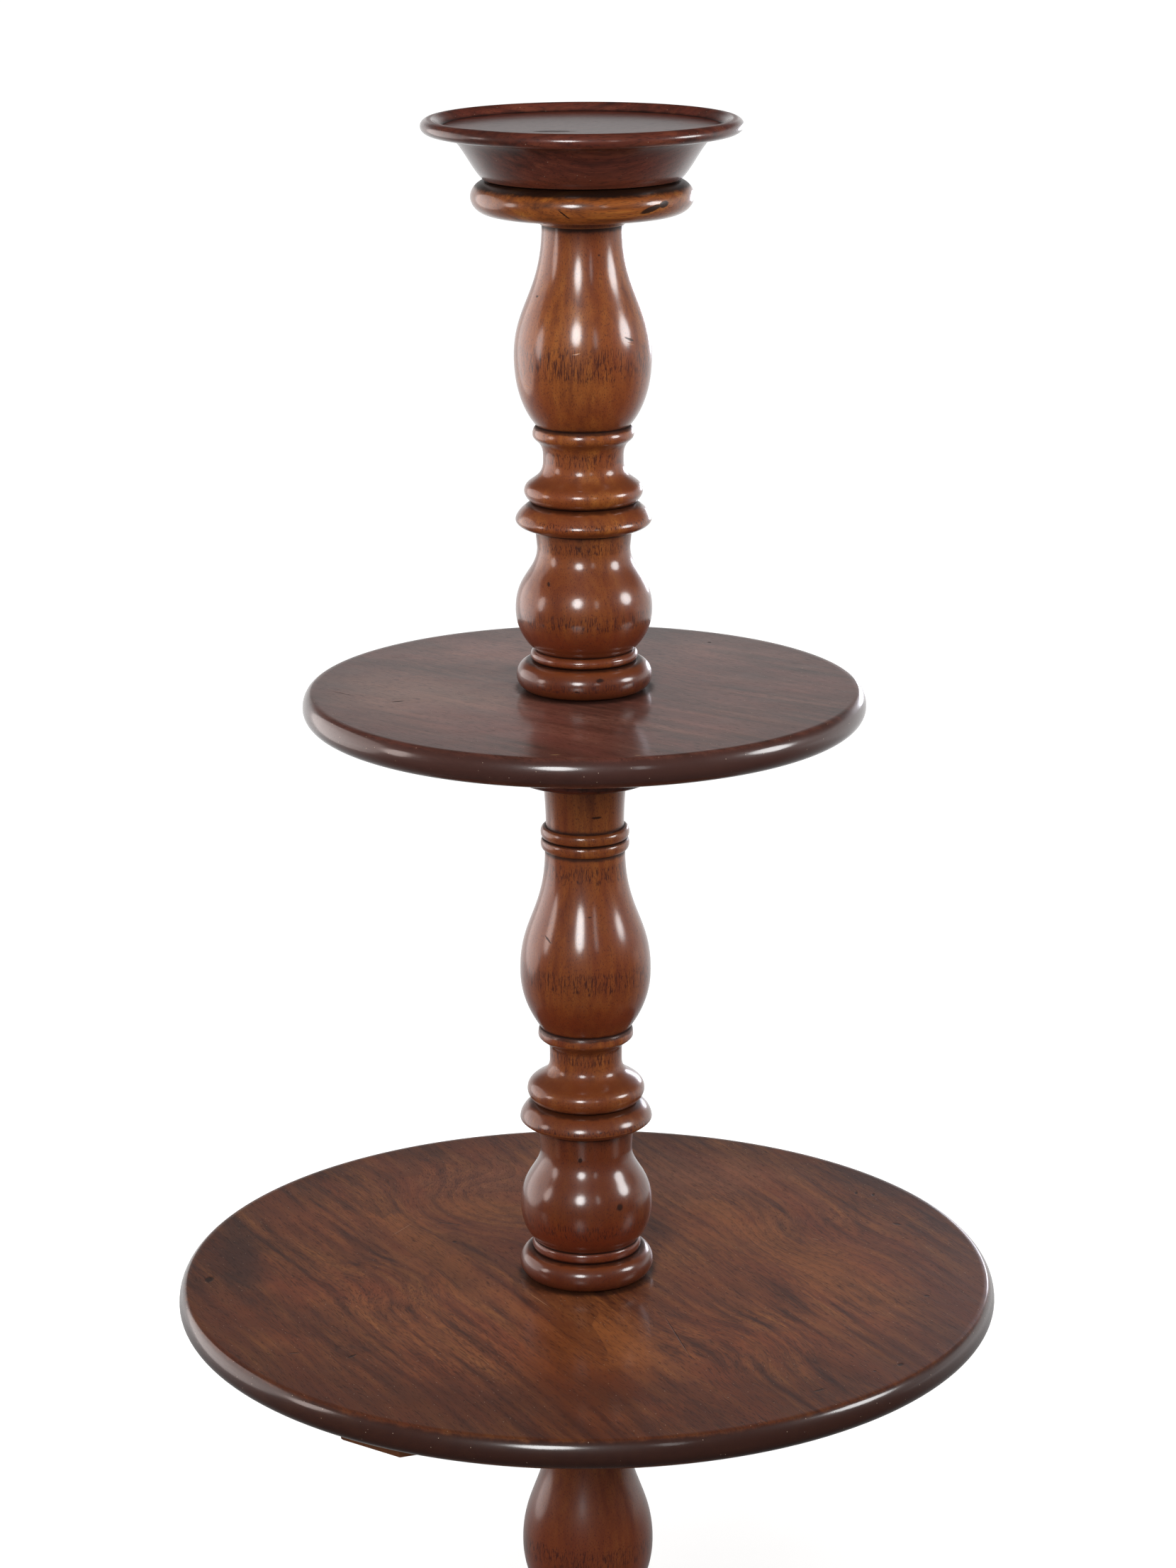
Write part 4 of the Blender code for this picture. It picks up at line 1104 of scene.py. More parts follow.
class Timber(Enum):
    """The woods of the piece."""

    # Turned and polished: a warm orange-brown with sharp lights, and flecks where curves bare end grain
    COLUMN = Mahogany(
        name="polished_turned_mahogany",
        heart="88491d",
        light="9b5c27",
        dark="673318",
        red="793819",
        streak_size=(6 * MM, 60 * MM),
        ring_strength=0.12,
        pore_size=(0.7 * MM, 1.7 * MM),
        pore_strength=0.6,
        fleck="3a1812",
        fleck_size=(0.9 * MM, 8 * MM),
        fleck_bands=FLECK_BANDS,
        dirt="220e09",
        dirt_strength=0.85,
        polish_roughness=0.17,
        ripple=0.7,
        tints=COLUMN_PAINTED_SHADE,
        stains=COLUMN_MARKS_AND_GROOVE_SHADE,
    )
    # A paler, faded piece: its golden tone sets the ring off from the dark dish above it
    CAPITAL = Mahogany(
        name="golden_turned_mahogany",
        heart="934f1d",
        light="ae6c2b",
        dark="592f14",
        red="7c3f1b",
        streak_size=(7 * MM, 90 * MM),
        polish_roughness=0.16,
        ripple=0.7,
        fleck_strength=0.35,
        end_strength=0.35,
        seed=5.0,
        stains=(
            Stain("140b09", 0.92, 0.30, on_turning(
                (46.7, -61.4, 1365.5, 10.0, 12, 2.2, -17), (56.0, -55.0, 1368.0, 4.0, 12, 2.6, -17),
                (-12.5, -75.8, 1364.0, 5.8, 6, 0.6, 38),
            ), 0.25),
            # Painted shade with grime: the top of the ring goes near black under the dish
            Stain("120a08", 0.94, 0.10, on_turning((0, 0, 1385, 95, 95, 20, 0)), 0.10),
        ),
    )
    # A planed board with curled figure: its polish is worn dull on top, and dust catches the light
    TIER = Mahogany(
        name="planed_tier_mahogany",
        heart="754226",
        light="8f582f",
        dark="402116",
        red="783b22",
        fleck="2a1611",
        worn="341814",
        worn_strength=0.7,
        side="2c1510",
        side_strength=0.80,
        streak_size=(8 * MM, 120 * MM),
        ring_size=8 * MM,
        ring_strength=0.36,
        ring_twist=9.0,
        fleck_size=(1.3 * MM, 14 * MM),
        fleck_patch=(60 * MM, 120 * MM),
        fleck_strength=0.45,
        fleck_edge=0.50,
        end_strength=0.6,
        dust_strength=0.8,
        sheen_roughness=0.45,
        polish=0.85,
        polish_roughness=0.15,
        dull=0.58,
        seed=9.0,
        swirls=(
            Swirl((-0.085, 0.135, LOWER_TOP), 100 * MM, 30 * MM),
            Swirl((-0.150, -0.020, LOWER_TOP), 70 * MM, -14 * MM),
            Swirl((0.110, -0.140, LOWER_TOP), 80 * MM, -12 * MM),
            Swirl((0.170, 0.060, LOWER_TOP), 90 * MM, 12 * MM),
        ),
        tints=LOWER_FIGURE_SHEEN_AND_REFLECTION,
        margin=Stain("32180f", 0.58, 0.36, on_lower((0, 26, 606, 616, 0)), 0.35, 40 * MM),
        stains=LOWER_MARKS_AND_FOOT_SHADOW,
    )
    # A second board, straighter in the grain and greyer, with the shine better kept
    MIDDLE = replace(
        TIER,
        name="planed_middle_tier_mahogany",
        heart="5f392f",
        light="7a4f41",
        dark="40271f",
        red="744036",
        worn="3a1c17",
        worn_strength=0.6,
        side="3e241f",
        streak_size=(9 * MM, 110 * MM),
        ring_strength=0.2,
        ring_twist=6.0,
        fleck_size=(1.1 * MM, 12 * MM),
        fleck_patch=(60 * MM, 100 * MM),
        fleck_edge=0.48,
        sheen_roughness=0.42,
        dull=0.40,
        seed=17.0,
        swirls=(),
        tints=MIDDLE_FIGURE_AND_SHEEN,
        margin=Stain("3a1f19", 0.45, 0.35, on_middle((0, 0, 420, 412, 0)), 0.35, 30 * MM),
        stains=MIDDLE_MARKS_AND_FOOT_SHADOW,
    )
    # Turned and stained dark: the figure is nearly lost under the polish, and the floor looks dusty
    DISH = Mahogany(
        name="dark_turned_mahogany",
        heart="5b2a1e",
        light="703a28",
        dark="371b15",
        red="612a1f",
        fleck="22100d",
        worn="71452f",
        streak_size=(6 * MM, 90 * MM),
        fleck_strength=0.4,
        end_strength=0.5,
        dust_strength=0.5,
        polish_roughness=0.16,
        ripple=0.7,
        dull=0.65,
        seed=27.0,
        tints=(
            Stain("6b3622", 0.60, 0.8, on_turning((0, 0, 1378, 200, 200, 23, 0)), 0.2),
            Stain("4a3230", 0.80, 0.3, on_turning((0, -15, 1415.7, 92, 90, 3, 0)), 0.20),
        ),
        stains=(
            Stain("2a1a17", 0.60, 0.5, on_turning((-20, -35, 1415.7, 17, 6, 3, 0)), 0.8),
            Stain("281917", 0.50, 0.7, on_turning((-65, -88, 1418, 40, 30, 8, 0)), 1.0, 7 * MM),
        ),
    )
    # Sawn and only stained: it lies matt and dark under the tier
    BATTEN = Mahogany(
        name="sawn_batten_mahogany",
        heart="37201a",
        light="462a20",
        dark="251512",
        red="3a1d17",
        end_strength=0.3,
        polish=0.0,
        sheen_roughness=0.6,
        seed=33.0,
    )


class Metal(Enum):
    """The metals of the piece."""

    # Gone brown with age and bright again where it rubs
    BRASS = OldMetal("aged_cast_brass", "c79a4b", "6b5230", "1e150d", 0.30, 0.75, 0.7 * MM, 0.03 * MM)
    # Near black, with a pitted, broken sheen
    IRON = OldMetal("black_wrought_iron", "57524d", "2b2623", "17110e", 0.50, 0.9, 1.2 * MM, 0.10 * MM)
    # Grey, with dirt in the slots
    STEEL = OldMetal("dulled_screw_steel", "8f8a83", "544c45", "1b1613", 0.38, 0.6, 0.5 * MM, 0.02 * MM)


@cache
def material_of(kind: Timber | Metal) -> Material:
    """The material of a wood or metal, made when it is first asked for."""
    return kind.value.material()


# Seating: what gives a piece its finish and its body

METAL_PLANK = Plank(UP, Vector((1, 0, 0)), (0, 0, 0))


def seat(obj: Object, kind: Timber | Metal, body: str, slot: str, node: str) -> None:
    """Gives a finished piece its finish and its body, and says what it stands for.

    Args:
        obj: the piece.
        kind: its wood or metal.
        body: the CAD body it rides on.
        slot: the record's material slot, which is not used.
        node: the CAD node it replaces.
    """
    obj.data.materials.clear()
    obj.data.materials.append(material_of(kind))
    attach(obj, body)
    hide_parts(node)
    LOG.info("%s: %d faces, rides on %s for %s", obj.name, len(obj.data.polygons), body, node)


def turn_piece(
    node: str, outline: Outline, segments: int, plank: Plank, kind: Timber, body: str, slot: str
) -> None:
    """Turns a piece and seats it.

    Args:
        node: the CAD node that it stands for.
        outline: its outside.
        segments: how many faces go round.
        plank: how it lies in its plank.
        kind: its wood.
        body: the CAD body it rides on.
        slot: the record's material slot.
    """
    obj = turn_on_lathe("turned_" + node, outline, segments)
    plank.stamp(obj, outline)
    seat(obj, kind, body, slot, node)


# The column

COLUMN_BORE = 14.3
BOSS_HEIGHT = 45.3
SOCKET_DEPTH = 42.0
SOCKET = (Step(COLUMN_BORE), Step(COLUMN_BORE, -SOCKET_DEPTH), Step(0.0))
REEDS = (Step(30.0), Bead(32.4, 30.0, 8.6, steps=12), Bead(32.4, 30.0, 8.6, steps=12))


@dataclass(frozen=True)
class Section:
    """A turned section of the column, with the pin at its foot and the socket at its top."""

    node: str
    tier: str
    plank: Plank
    members: tuple[Member, ...]
    pin_radius: float = 14.0
    segments: int = 96

    def make(self) -> None:
        """Turns the section, from the end of its pin up."""
        low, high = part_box(self.tier)
        end = low.z / MM - BOSS_HEIGHT - SOCKET_DEPTH + FIT_MM
        pin = (Step(self.pin_radius), Step(self.pin_radius, high.z / MM + FIT_MM - end))
        outline = drawn((0.0, end), pin + self.members)
        turn_piece(self.node, outline, self.segments, self.plank, Timber.COLUMN, "stand", "column_wood")


UPPER_SECTION = Section(
    node="upper_column",
    tier="middle_tier",
    plank=Plank(UP, polar(1.0, 0.5), (0.09, 0.03, 0.0)),
    members=(
        Step(39.0), Bead(48.8, 39.0, 21.2),
        Step(34.5), Bead(38.6, 34.5, 7.9, steps=12),
        flare(49.0, 29.8), swell(33.3, 45.1, 0.55, 0.40), Step(34.4, 11.2), Step(34.5, 1.7),
        Curve(48.6, 7.2, (0.50, 0), (1, 0.50), 12), Curve(35.5, 12.2, (0, 0.35), (0.62, 1), 18),
        Curve(42.3, 8.1, (0.40, 0), (1, 0.65), 12), swell(28.7, 21.5, 0.45, 0.68), Step(28.7, 4.0),
        swell(36.1, 15.6, 0.75, 0.33), Curve(33.1, 6.1, (0, 0.50), (0.50, 0.85), 12),
        flare(48.8, 49.1, 0.58), swell(28.6, 92.9, 0.40, 0.52),
        Step(29.4), Curve(30.4, 1.5, (0.6, 0), (1, 0.5), 6), Step(30.4, 5.8),
        Step(12.0), Step(12.0, 45.0), Step(0.0),
    ),
)

MIDDLE_SECTION = Section(
    node="middle_column",
    tier="lower_tier",
    plank=Plank(UP, polar(1.0, 2.1), (0.07, -0.05, 3.0)),
    members=(
        Step(41.0), Bead(49.7, 41.0, 20.2),
        Step(38.5), Bead(40.5, 38.5, 8.0, steps=12),
        flare(49.0, 27.5), swell(34.0, 44.5, 0.55, 0.40),
        Step(35.1, 14.5), Step(35.2, 1.7),
        Curve(48.9, 7.3, (0.35, 0), (1, 0.75), 12), Curve(36.0, 13.3, (0, 0.44), (0.56, 1), 18),
        Curve(43.4, 8.7, (0.70, 0), (1, 0.75), 12), swell(26.7, 22.6, 0.51, 0.61), Step(26.7, 9.0),
        swell(35.1, 11.0, 0.55, 0.30), Curve(33.3, 6.3, (0, 0.55), (0.45, 0.88), 12),
        flare(48.1, 43.8, 0.38, 0.50), swell(29.3, 92.3, 0.42, 0.52),
        *REEDS,
        Step(28.5), swell(30.6, 35.8, 0.50, 0.0),
        *SOCKET,
    ),
)


@dataclass(frozen=True)
class Pedestal:
    """The lowest section: a plain hub with three dovetail housings, then ring, vase and neck."""

    plank: Plank = Plank(UP, polar(1.0, 4.0), (0.08, 0.02, 6.0))
    hub_radius: float = 44.0
    hub_land: float = 4.0
    members: tuple[Member, ...] = (
        Bead(50.5, 43.0, 20.0),
        Step(28.0), Step(28.0, 8.5),
        swell(37.0, 12.0, 0.70, 0.42), Curve(33.5, 6.5, (0, 0.55), (0.45, 0.90), 12),
        flare(49.6, 46.0), swell(29.3, 98.8, 0.40, 0.50),
        *REEDS,
        Step(28.9), swell(31.2, 33.1, 0.50, 0.0),
    )

    def outline(self) -> Outline:
        """Draws the pedestal from under the hub up to the socket.

        Returns:
            Its outline.
        """
        under = foot("pedestal_column") / MM
        rises = drawn((0.0, 0.0), self.members).points[-1][1]
        height = foot("lower_tier") / MM - BOSS_HEIGHT - rises - under
        plain = (Step(self.hub_radius, height - self.hub_land), Step(self.hub_radius, self.hub_land))
        return drawn((0.0, under), (Step(self.hub_radius), *plain, *self.members, *SOCKET))

    def make(self) -> None:
        """Turns the pedestal and cuts the housings of its legs."""
        outline = self.outline()
        obj = turn_on_lathe("turned_pedestal_column", outline, 96)
        for angle in Leg().angles():
            work(obj, Leg().dovetail(FIT_MM * MM, 2 * MM, angle), Joinery.CUT)
        smooth(obj)
        self.plank.stamp(obj, outline)
        seat(obj, Timber.COLUMN, "stand", "column_wood", "pedestal_column")


@dataclass(frozen=True)
class Capital:
    """The golden torus under the dish."""

    bore: float = 12.3
    root: float = 64.0
    crown: float = 78.2
    height: float = 23.8
    plank: Plank = Plank(polar(1.0, 0.3), UP, (0.0, -1.28, 0.0))

    def make(self) -> None:
        """Turns the ring where the CAD's stands."""
        members = (Step(self.root), Bead(self.crown, self.root, self.height, steps=28), Step(self.bore))
        outline = drawn((self.bore, foot("capital_ring") / MM), members)
        turn_piece("capital_ring", outline, 112, self.plank, Timber.CAPITAL, "stand", "capital_wood")


@dataclass(frozen=True)
class Dish:
    """The dish: a turned bowl with a rounded rim and a flat floor that is sunk in it."""

    bore: float = 12.3
    socket: float = 20.3
    foot: float = 69.8
    lip: float = 72.2
    lip_rise: float = 2.6
    body: float = 95.5
    body_rise: float = 28.4
    rim_root: float = 106.0
    rim: float = 112.5
    rim_rise: float = 10.5
    inner: float = 97.5
    recess: float = 6.0
    plank: Plank = Plank(polar(1.0, 0.2), UP, (0.03, -1.33, 0.0))

    def make(self) -> None:
        """Turns the dish where the CAD's stands."""
        members = (
            Step(self.bore), Step(self.bore, -self.socket), Step(self.foot), Step(self.lip, self.lip_rise),
            Curve(self.body, self.body_rise, (0.35, 0.35), (0.6, 0.9)),
            Step(self.rim_root), Bead(self.rim, self.rim_root, self.rim_rise, steps=24),
            Curve(self.inner, -self.recess, (0.45, 0.02), (0.62, 1.0), 14),
            Step(self.inner - 1.5), Step(self.inner - 4.0), Step(0.0),
        )
        outline = drawn((0.0, foot("dish") / MM + self.socket), members)
        turn_piece("dish", outline, 128, self.plank, Timber.DISH, "dish", "tier_wood")


# The tiers


@dataclass(frozen=True)
class Tier:
    """A round board with a rounded edge, and the boss that is glued under it."""

    node: str
    grain: Vector
    timber: Timber
    pith: tuple[float, float, float]
    nose_under: float
    nose_over: float = 6.0
    face_ring: float = 3.0
    boss_foot: float = 52.0
    boss_top: float = 86.0
    boss_lip: float = 9.0
    boss_top_lip: float = 6.0

    def make(self) -> None:
        """Turns the board and its boss."""
        low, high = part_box(self.node)
        radius, thick = high.x / MM, (high.z - low.z) / MM
        under, over = radius - self.nose_under, radius - self.nose_over
        members = (
            Step(under - self.face_ring), Step(under), Nose(radius, self.nose_under, self.nose_over, thick),
            Step(over - self.face_ring), Step(COLUMN_BORE),
        )
        outline = drawn((COLUMN_BORE, low.z / MM), members)
        plank = Plank(self.grain, UP, self.pith)
        turn_piece(self.node, outline, 160, plank, self.timber, self.node, "tier_wood")
        self.make_boss()

    def make_boss(self) -> None:
        """Turns the boss."""
        node = self.node + "_boss"
        low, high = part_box(node)
        root = self.boss_foot - self.boss_lip / 2
        hollow = (high.z - low.z) / MM - self.boss_lip - self.boss_top_lip
        members = (
            Step(root), Bead(self.boss_foot, root, self.boss_lip, steps=14),
            swell(self.boss_top, hollow, 0.40, 0.0), Step(self.boss_top, self.boss_top_lip),
            Step(COLUMN_BORE),
        )
        plank = Plank(self.grain, UP, (0.02, self.pith[1] - 0.4, 1.0))
        outline = drawn((COLUMN_BORE, low.z / MM), members)
        turn_piece(node, outline, 96, plank, Timber.DISH, self.node, "tier_wood")


@dataclass(frozen=True)
class Screw:
    """A slotted wood screw that points up: its head is sunk flush, or round and below the face."""

    head_radius: float = 4.6
    head_height: float = 3.0
    shank_radius: float = 2.2
    slot_width: float = 1.1
    slot_depth: float = 1.3

    def model(self, reach: float, sunk: bool) -> Object:
        """Turns the screw at the origin and cuts its slot.

        Args:
            reach: its length above the face, in millimetres.
            sunk: whether the head is countersunk.

        Returns:
            The screw.
        """
        if sunk:
            head = (Step(self.head_radius), Step(self.shank_radius, self.head_height))
            start, rise = 0.0, reach - self.head_height
        else:
            dome = Curve(self.head_radius, self.head_height - FIT_MM, (0.55, 0.0), (1.0, 0.45), 10)
            head = (dome, Step(self.shank_radius))
            start, rise = -self.head_height, reach + FIT_MM
        tip = self.shank_radius
        members = (*head, Step(self.shank_radius, rise - tip), Step(0.0, tip))
        obj = turn_on_lathe("screw", drawn((0.0, start), members), 28)
        below = 1.0
        corners = rectangle(2 * self.head_radius * MM, self.slot_width * MM / 2, (start - below) * MM)
        work(obj, plane_up("slot", corners, UP * (below + self.slot_depth) * MM), Joinery.CUT)
        smooth(obj)
        return obj


@dataclass(frozen=True)
class Battens:
    """The pair of battens screwed under the lower tier across its grain."""

    offset: float = 150.5 * MM
    width: float = 43.0 * MM
    end_radius: float = 265.5 * MM
    edge: float = 2.0 * MM
    angle: float = radians(20)
    screw_shares: tuple[float, ...] = (-0.72, 0.0, 0.72)
    bite: float = 13.0
    drill: float = 40.0
    overrun: float = 2.0
    slot_turn: float = 0.7
    screw: Screw = Screw()

    def saw(self, low: float, thick: float) -> tuple[Object, list[Vector]]:
        """Saws a batten and countersinks its screw holes.

        Args:
            low: the height of its underside.
            thick: its thickness.

        Returns:
            The batten, before it is turned to its side, and where its screws go.
        """
        near, far = self.offset - self.width / 2, self.offset + self.width / 2
        near_x, far_x = sqrt(self.end_radius**2 - near**2), sqrt(self.end_radius**2 - far**2)
        corners = [(-near_x, near, low), (near_x, near, low), (far_x, far, low), (-far_x, far, low)]
        batten = plane_up("batten", corners, UP * thick)
        ease_edges(batten, self.edge, 4, lambda place: place.z < low + MM / 10)
        places = [Vector((far_x * share, self.offset, low)) for share in self.screw_shares]
        head, shank = self.screw.head_radius + FIT_MM, self.screw.shank_radius + FIT_MM
        hole = (
            Step(head + self.overrun), Step(head, self.overrun), Step(shank, self.screw.head_height),
            Step(shank, self.drill), Step(0.0),
        )
        for place in places:
            work(batten, turn_on_lathe("hole", drawn((0.0, -self.overrun), hole), 32, place), Joinery.CUT)
        smooth(batten)
        return batten, places

    def make(self) -> None:
        """Makes one batten and one screw and copies them to both sides."""
        low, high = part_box("batten_front")
        thick = high.z - low.z
        master, places = self.saw(low.z, thick)
        model = self.screw.model(thick / MM + FIT_MM + self.bite, True)
        for side, turn in (("front", self.angle + pi), ("back", self.angle)):
            about = Matrix.Rotation(turn, 4, "Z")
            batten = copy_of(master, "sawn_batten_" + side, about)
            Plank(about.to_3x3() @ Vector((1, 0, 0)), UP, (0.3 + turn, -0.45, 0.0)).stamp(batten)
            seat(batten, Timber.BATTEN, "lower_tier", "tier_wood", "batten_" + side)
            for index, place in enumerate(places, 1):
                node = f"batten_screw_{side}_{index}"
                slotted = about @ Matrix.Translation(place) @ Matrix.Rotation(self.slot_turn * index, 4, "Z")
                piece = copy_of(model, "turned_" + node, slotted)
                METAL_PLANK.stamp(piece)
                seat(piece, Metal.STEEL, "lower_tier", "screw_steel", node)
        clear_away(master, model)


# The tripod


@dataclass(frozen=True)
class Leg:
    """A cabriole leg, sawn from a plank, rounded over and slid up into the hub on a dovetail."""

    count: int = 3
    first: float = radians(90)
    hub_radius: float = 44.0 * MM
    top_z: float = 236.0 * MM
    hub_width: float = 44.0 * MM
    toe_width: float = 32.0 * MM
    seat: float = 30.0 * MM
    toe_height: float = 26.5 * MM
    toe_length: float = 33.0 * MM
    caster_radius: float = 252.0 * MM
    knee_share: float = 0.62
    ankle_share: float = 0.46
    round_share: float = 0.30
    tip_share: float = 0.24
    longest: float = 40.0 * MM
    arris: float = radians(50)
    dovetail_depth: float = 16.0 * MM
    dovetail_neck: float = 17.0 * MM
    dovetail_back: float = 23.0 * MM
    dovetail_stop: float = 16.0 * MM
    stations: int = 26

    def angles(self) -> list[float]:
        """The legs' directions round the hub."""
        return [self.first + 2 * pi * index / self.count for index in range(self.count)]

    def dovetail(self, clearance: float, overrun: float, angle: float) -> Object:
        """A dovetail, or with a clearance the cutter of its housing.

        Args:
            clearance: how much wider than the tongue.
            overrun: how far it runs past the hub's underside.
            angle: the leg's direction.

        Returns:
            The prism.
        """
        under = foot("pedestal_column")
        back = self.hub_radius - self.dovetail_depth - clearance
        neck, tail = self.dovetail_neck / 2 + clearance, self.dovetail_back / 2 + clearance
        outline = [(back, -tail), (self.hub_radius, -neck), (self.hub_radius + self.dovetail_neck / 2, -neck)]
        outline += [(x, -y) for x, y in reversed(outline)]
        about = Matrix.Rotation(angle, 3, "Z")
        corners = [about @ Vector((x, y, under - overrun)) for x, y in outline]
        rise = self.top_z - self.dovetail_stop + clearance - under + overrun
        return plane_up("dovetail", corners, UP * rise)

    def curves(self) -> tuple[list[Vector], list[Vector]]:
        """Draws the leg in its own plane, from inside the hub to the toe.

        Returns:
            Its upper and its lower curve.
        """
        under = foot("pedestal_column")
        toe_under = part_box("caster_cup_1")[1].z + FIT_MM * MM
        toe_top = toe_under + self.toe_height
        toe_start = self.caster_radius - self.toe_length / 2
        inside = self.hub_radius - self.dovetail_depth / 2
        tops, lows = [Vector((inside, 0, self.top_z))], [Vector((inside, 0, under))]
        for step in range(self.stations + 1):
            t = step / self.stations
            shares = ((1 - t) ** 3, 3 * (1 - t) ** 2 * t, 3 * (1 - t) * t**2, t**3)
            for line, start, high, low in (
                (tops, self.hub_radius, self.top_z, toe_top),
                (lows, self.hub_radius + self.seat, under, toe_under),
            ):
                run = toe_start - start
                knots = (start, start + run * self.knee_share, toe_start - run * self.ankle_share, toe_start)
                x = sum(knot * share for knot, share in zip(knots, shares))
                z = high * (shares[0] + shares[1]) + low * (shares[2] + shares[3])
                line.append(Vector((x, 0, z)))
        end, step = toe_start + self.toe_length, self.toe_height / 8
        for out_top, down, out_low, up in ((3, 0, 2, 0), (1.2, 0.5, 0.8, 0.3), (0, 2, 0, 1.2)):
            tops.append(Vector((end - out_top * step, 0, toe_top - down * step)))
            lows.append(Vector((end - out_low * step, 0, toe_under + up * step)))
        return tops, lows

    def saw(self) -> Object:
        """Saws the leg along +X, tapers it to the toe and rounds it over.

        Returns:
            The leg, without its joints.
        """
        tops, lows = self.curves()
        obj = scribe("leg", (tops[0], lows[0]))
        hold(obj)
        with editing():
            for index in range(1, len(tops)):
                shifts = (tops[index] - tops[index - 1], lows[index] - lows[index - 1])
                between = (shifts[0] + shifts[1]) / 2
                bpy.ops.mesh.extrude_region_move(TRANSFORM_OT_translate={"value": between})
                for line, shift in zip((tops, lows), shifts):
                    select_where(Part.VERT, beside(line[index - 1] + between))
                    bpy.ops.transform.translate(value=shift - between)
                select_where(Part.VERT, beside(tops[index], lows[index]))
            bpy.ops.mesh.select_all(action="SELECT")
            bpy.ops.transform.translate(value=(0, -0.5, 0))
            bpy.ops.mesh.extrude_region_move(TRANSFORM_OT_translate={"value": (0, 1, 0)})
            last = len(tops) - 1
            for index, ends in enumerate(zip(tops, lows)):
                width = self.hub_width + (self.toe_width - self.hub_width) * (index / last)
                width *= 1 - self.tip_share * max(0.0, index - last + 2) / 2
                select_where(Part.VERT, beside(*ends))
                bpy.ops.transform.resize(value=(1, width, 1), center_override=(0, 0, 0))
            bpy.ops.mesh.select_all(action="SELECT")
            bpy.ops.mesh.normals_make_consistent(inside=False)
        self.round_over(obj)
        return obj

    def round_over(self, obj: Object) -> None:
        """Rounds the long edges of the leg and smooths it.

        Args:
            obj: the sawn leg.
        """
        hold(obj)
        with editing():
            bpy.ops.mesh.select_mode(type="EDGE")
            bpy.ops.mesh.select_all(action="DESELECT")
            mesh = bmesh.from_edit_mesh(obj.data)
            for edge in mesh.edges:
                one, two = (vert.co for vert in edge.verts)
                run = abs(one.x - two.x) + abs(one.z - two.z)
                along = (one.y > 0) == (two.y > 0) and run < self.longest
                if along and edge.calc_face_angle(0.0) > self.arris:
                    edge.select_set(True)
            bmesh.update_edit_mesh(obj.data)
            width = self.toe_width / 2 * self.round_share
            bpy.ops.mesh.bevel(offset=width, segments=4, affect="EDGES", clamp_overlap=True)
        subdivide_smooth(obj)


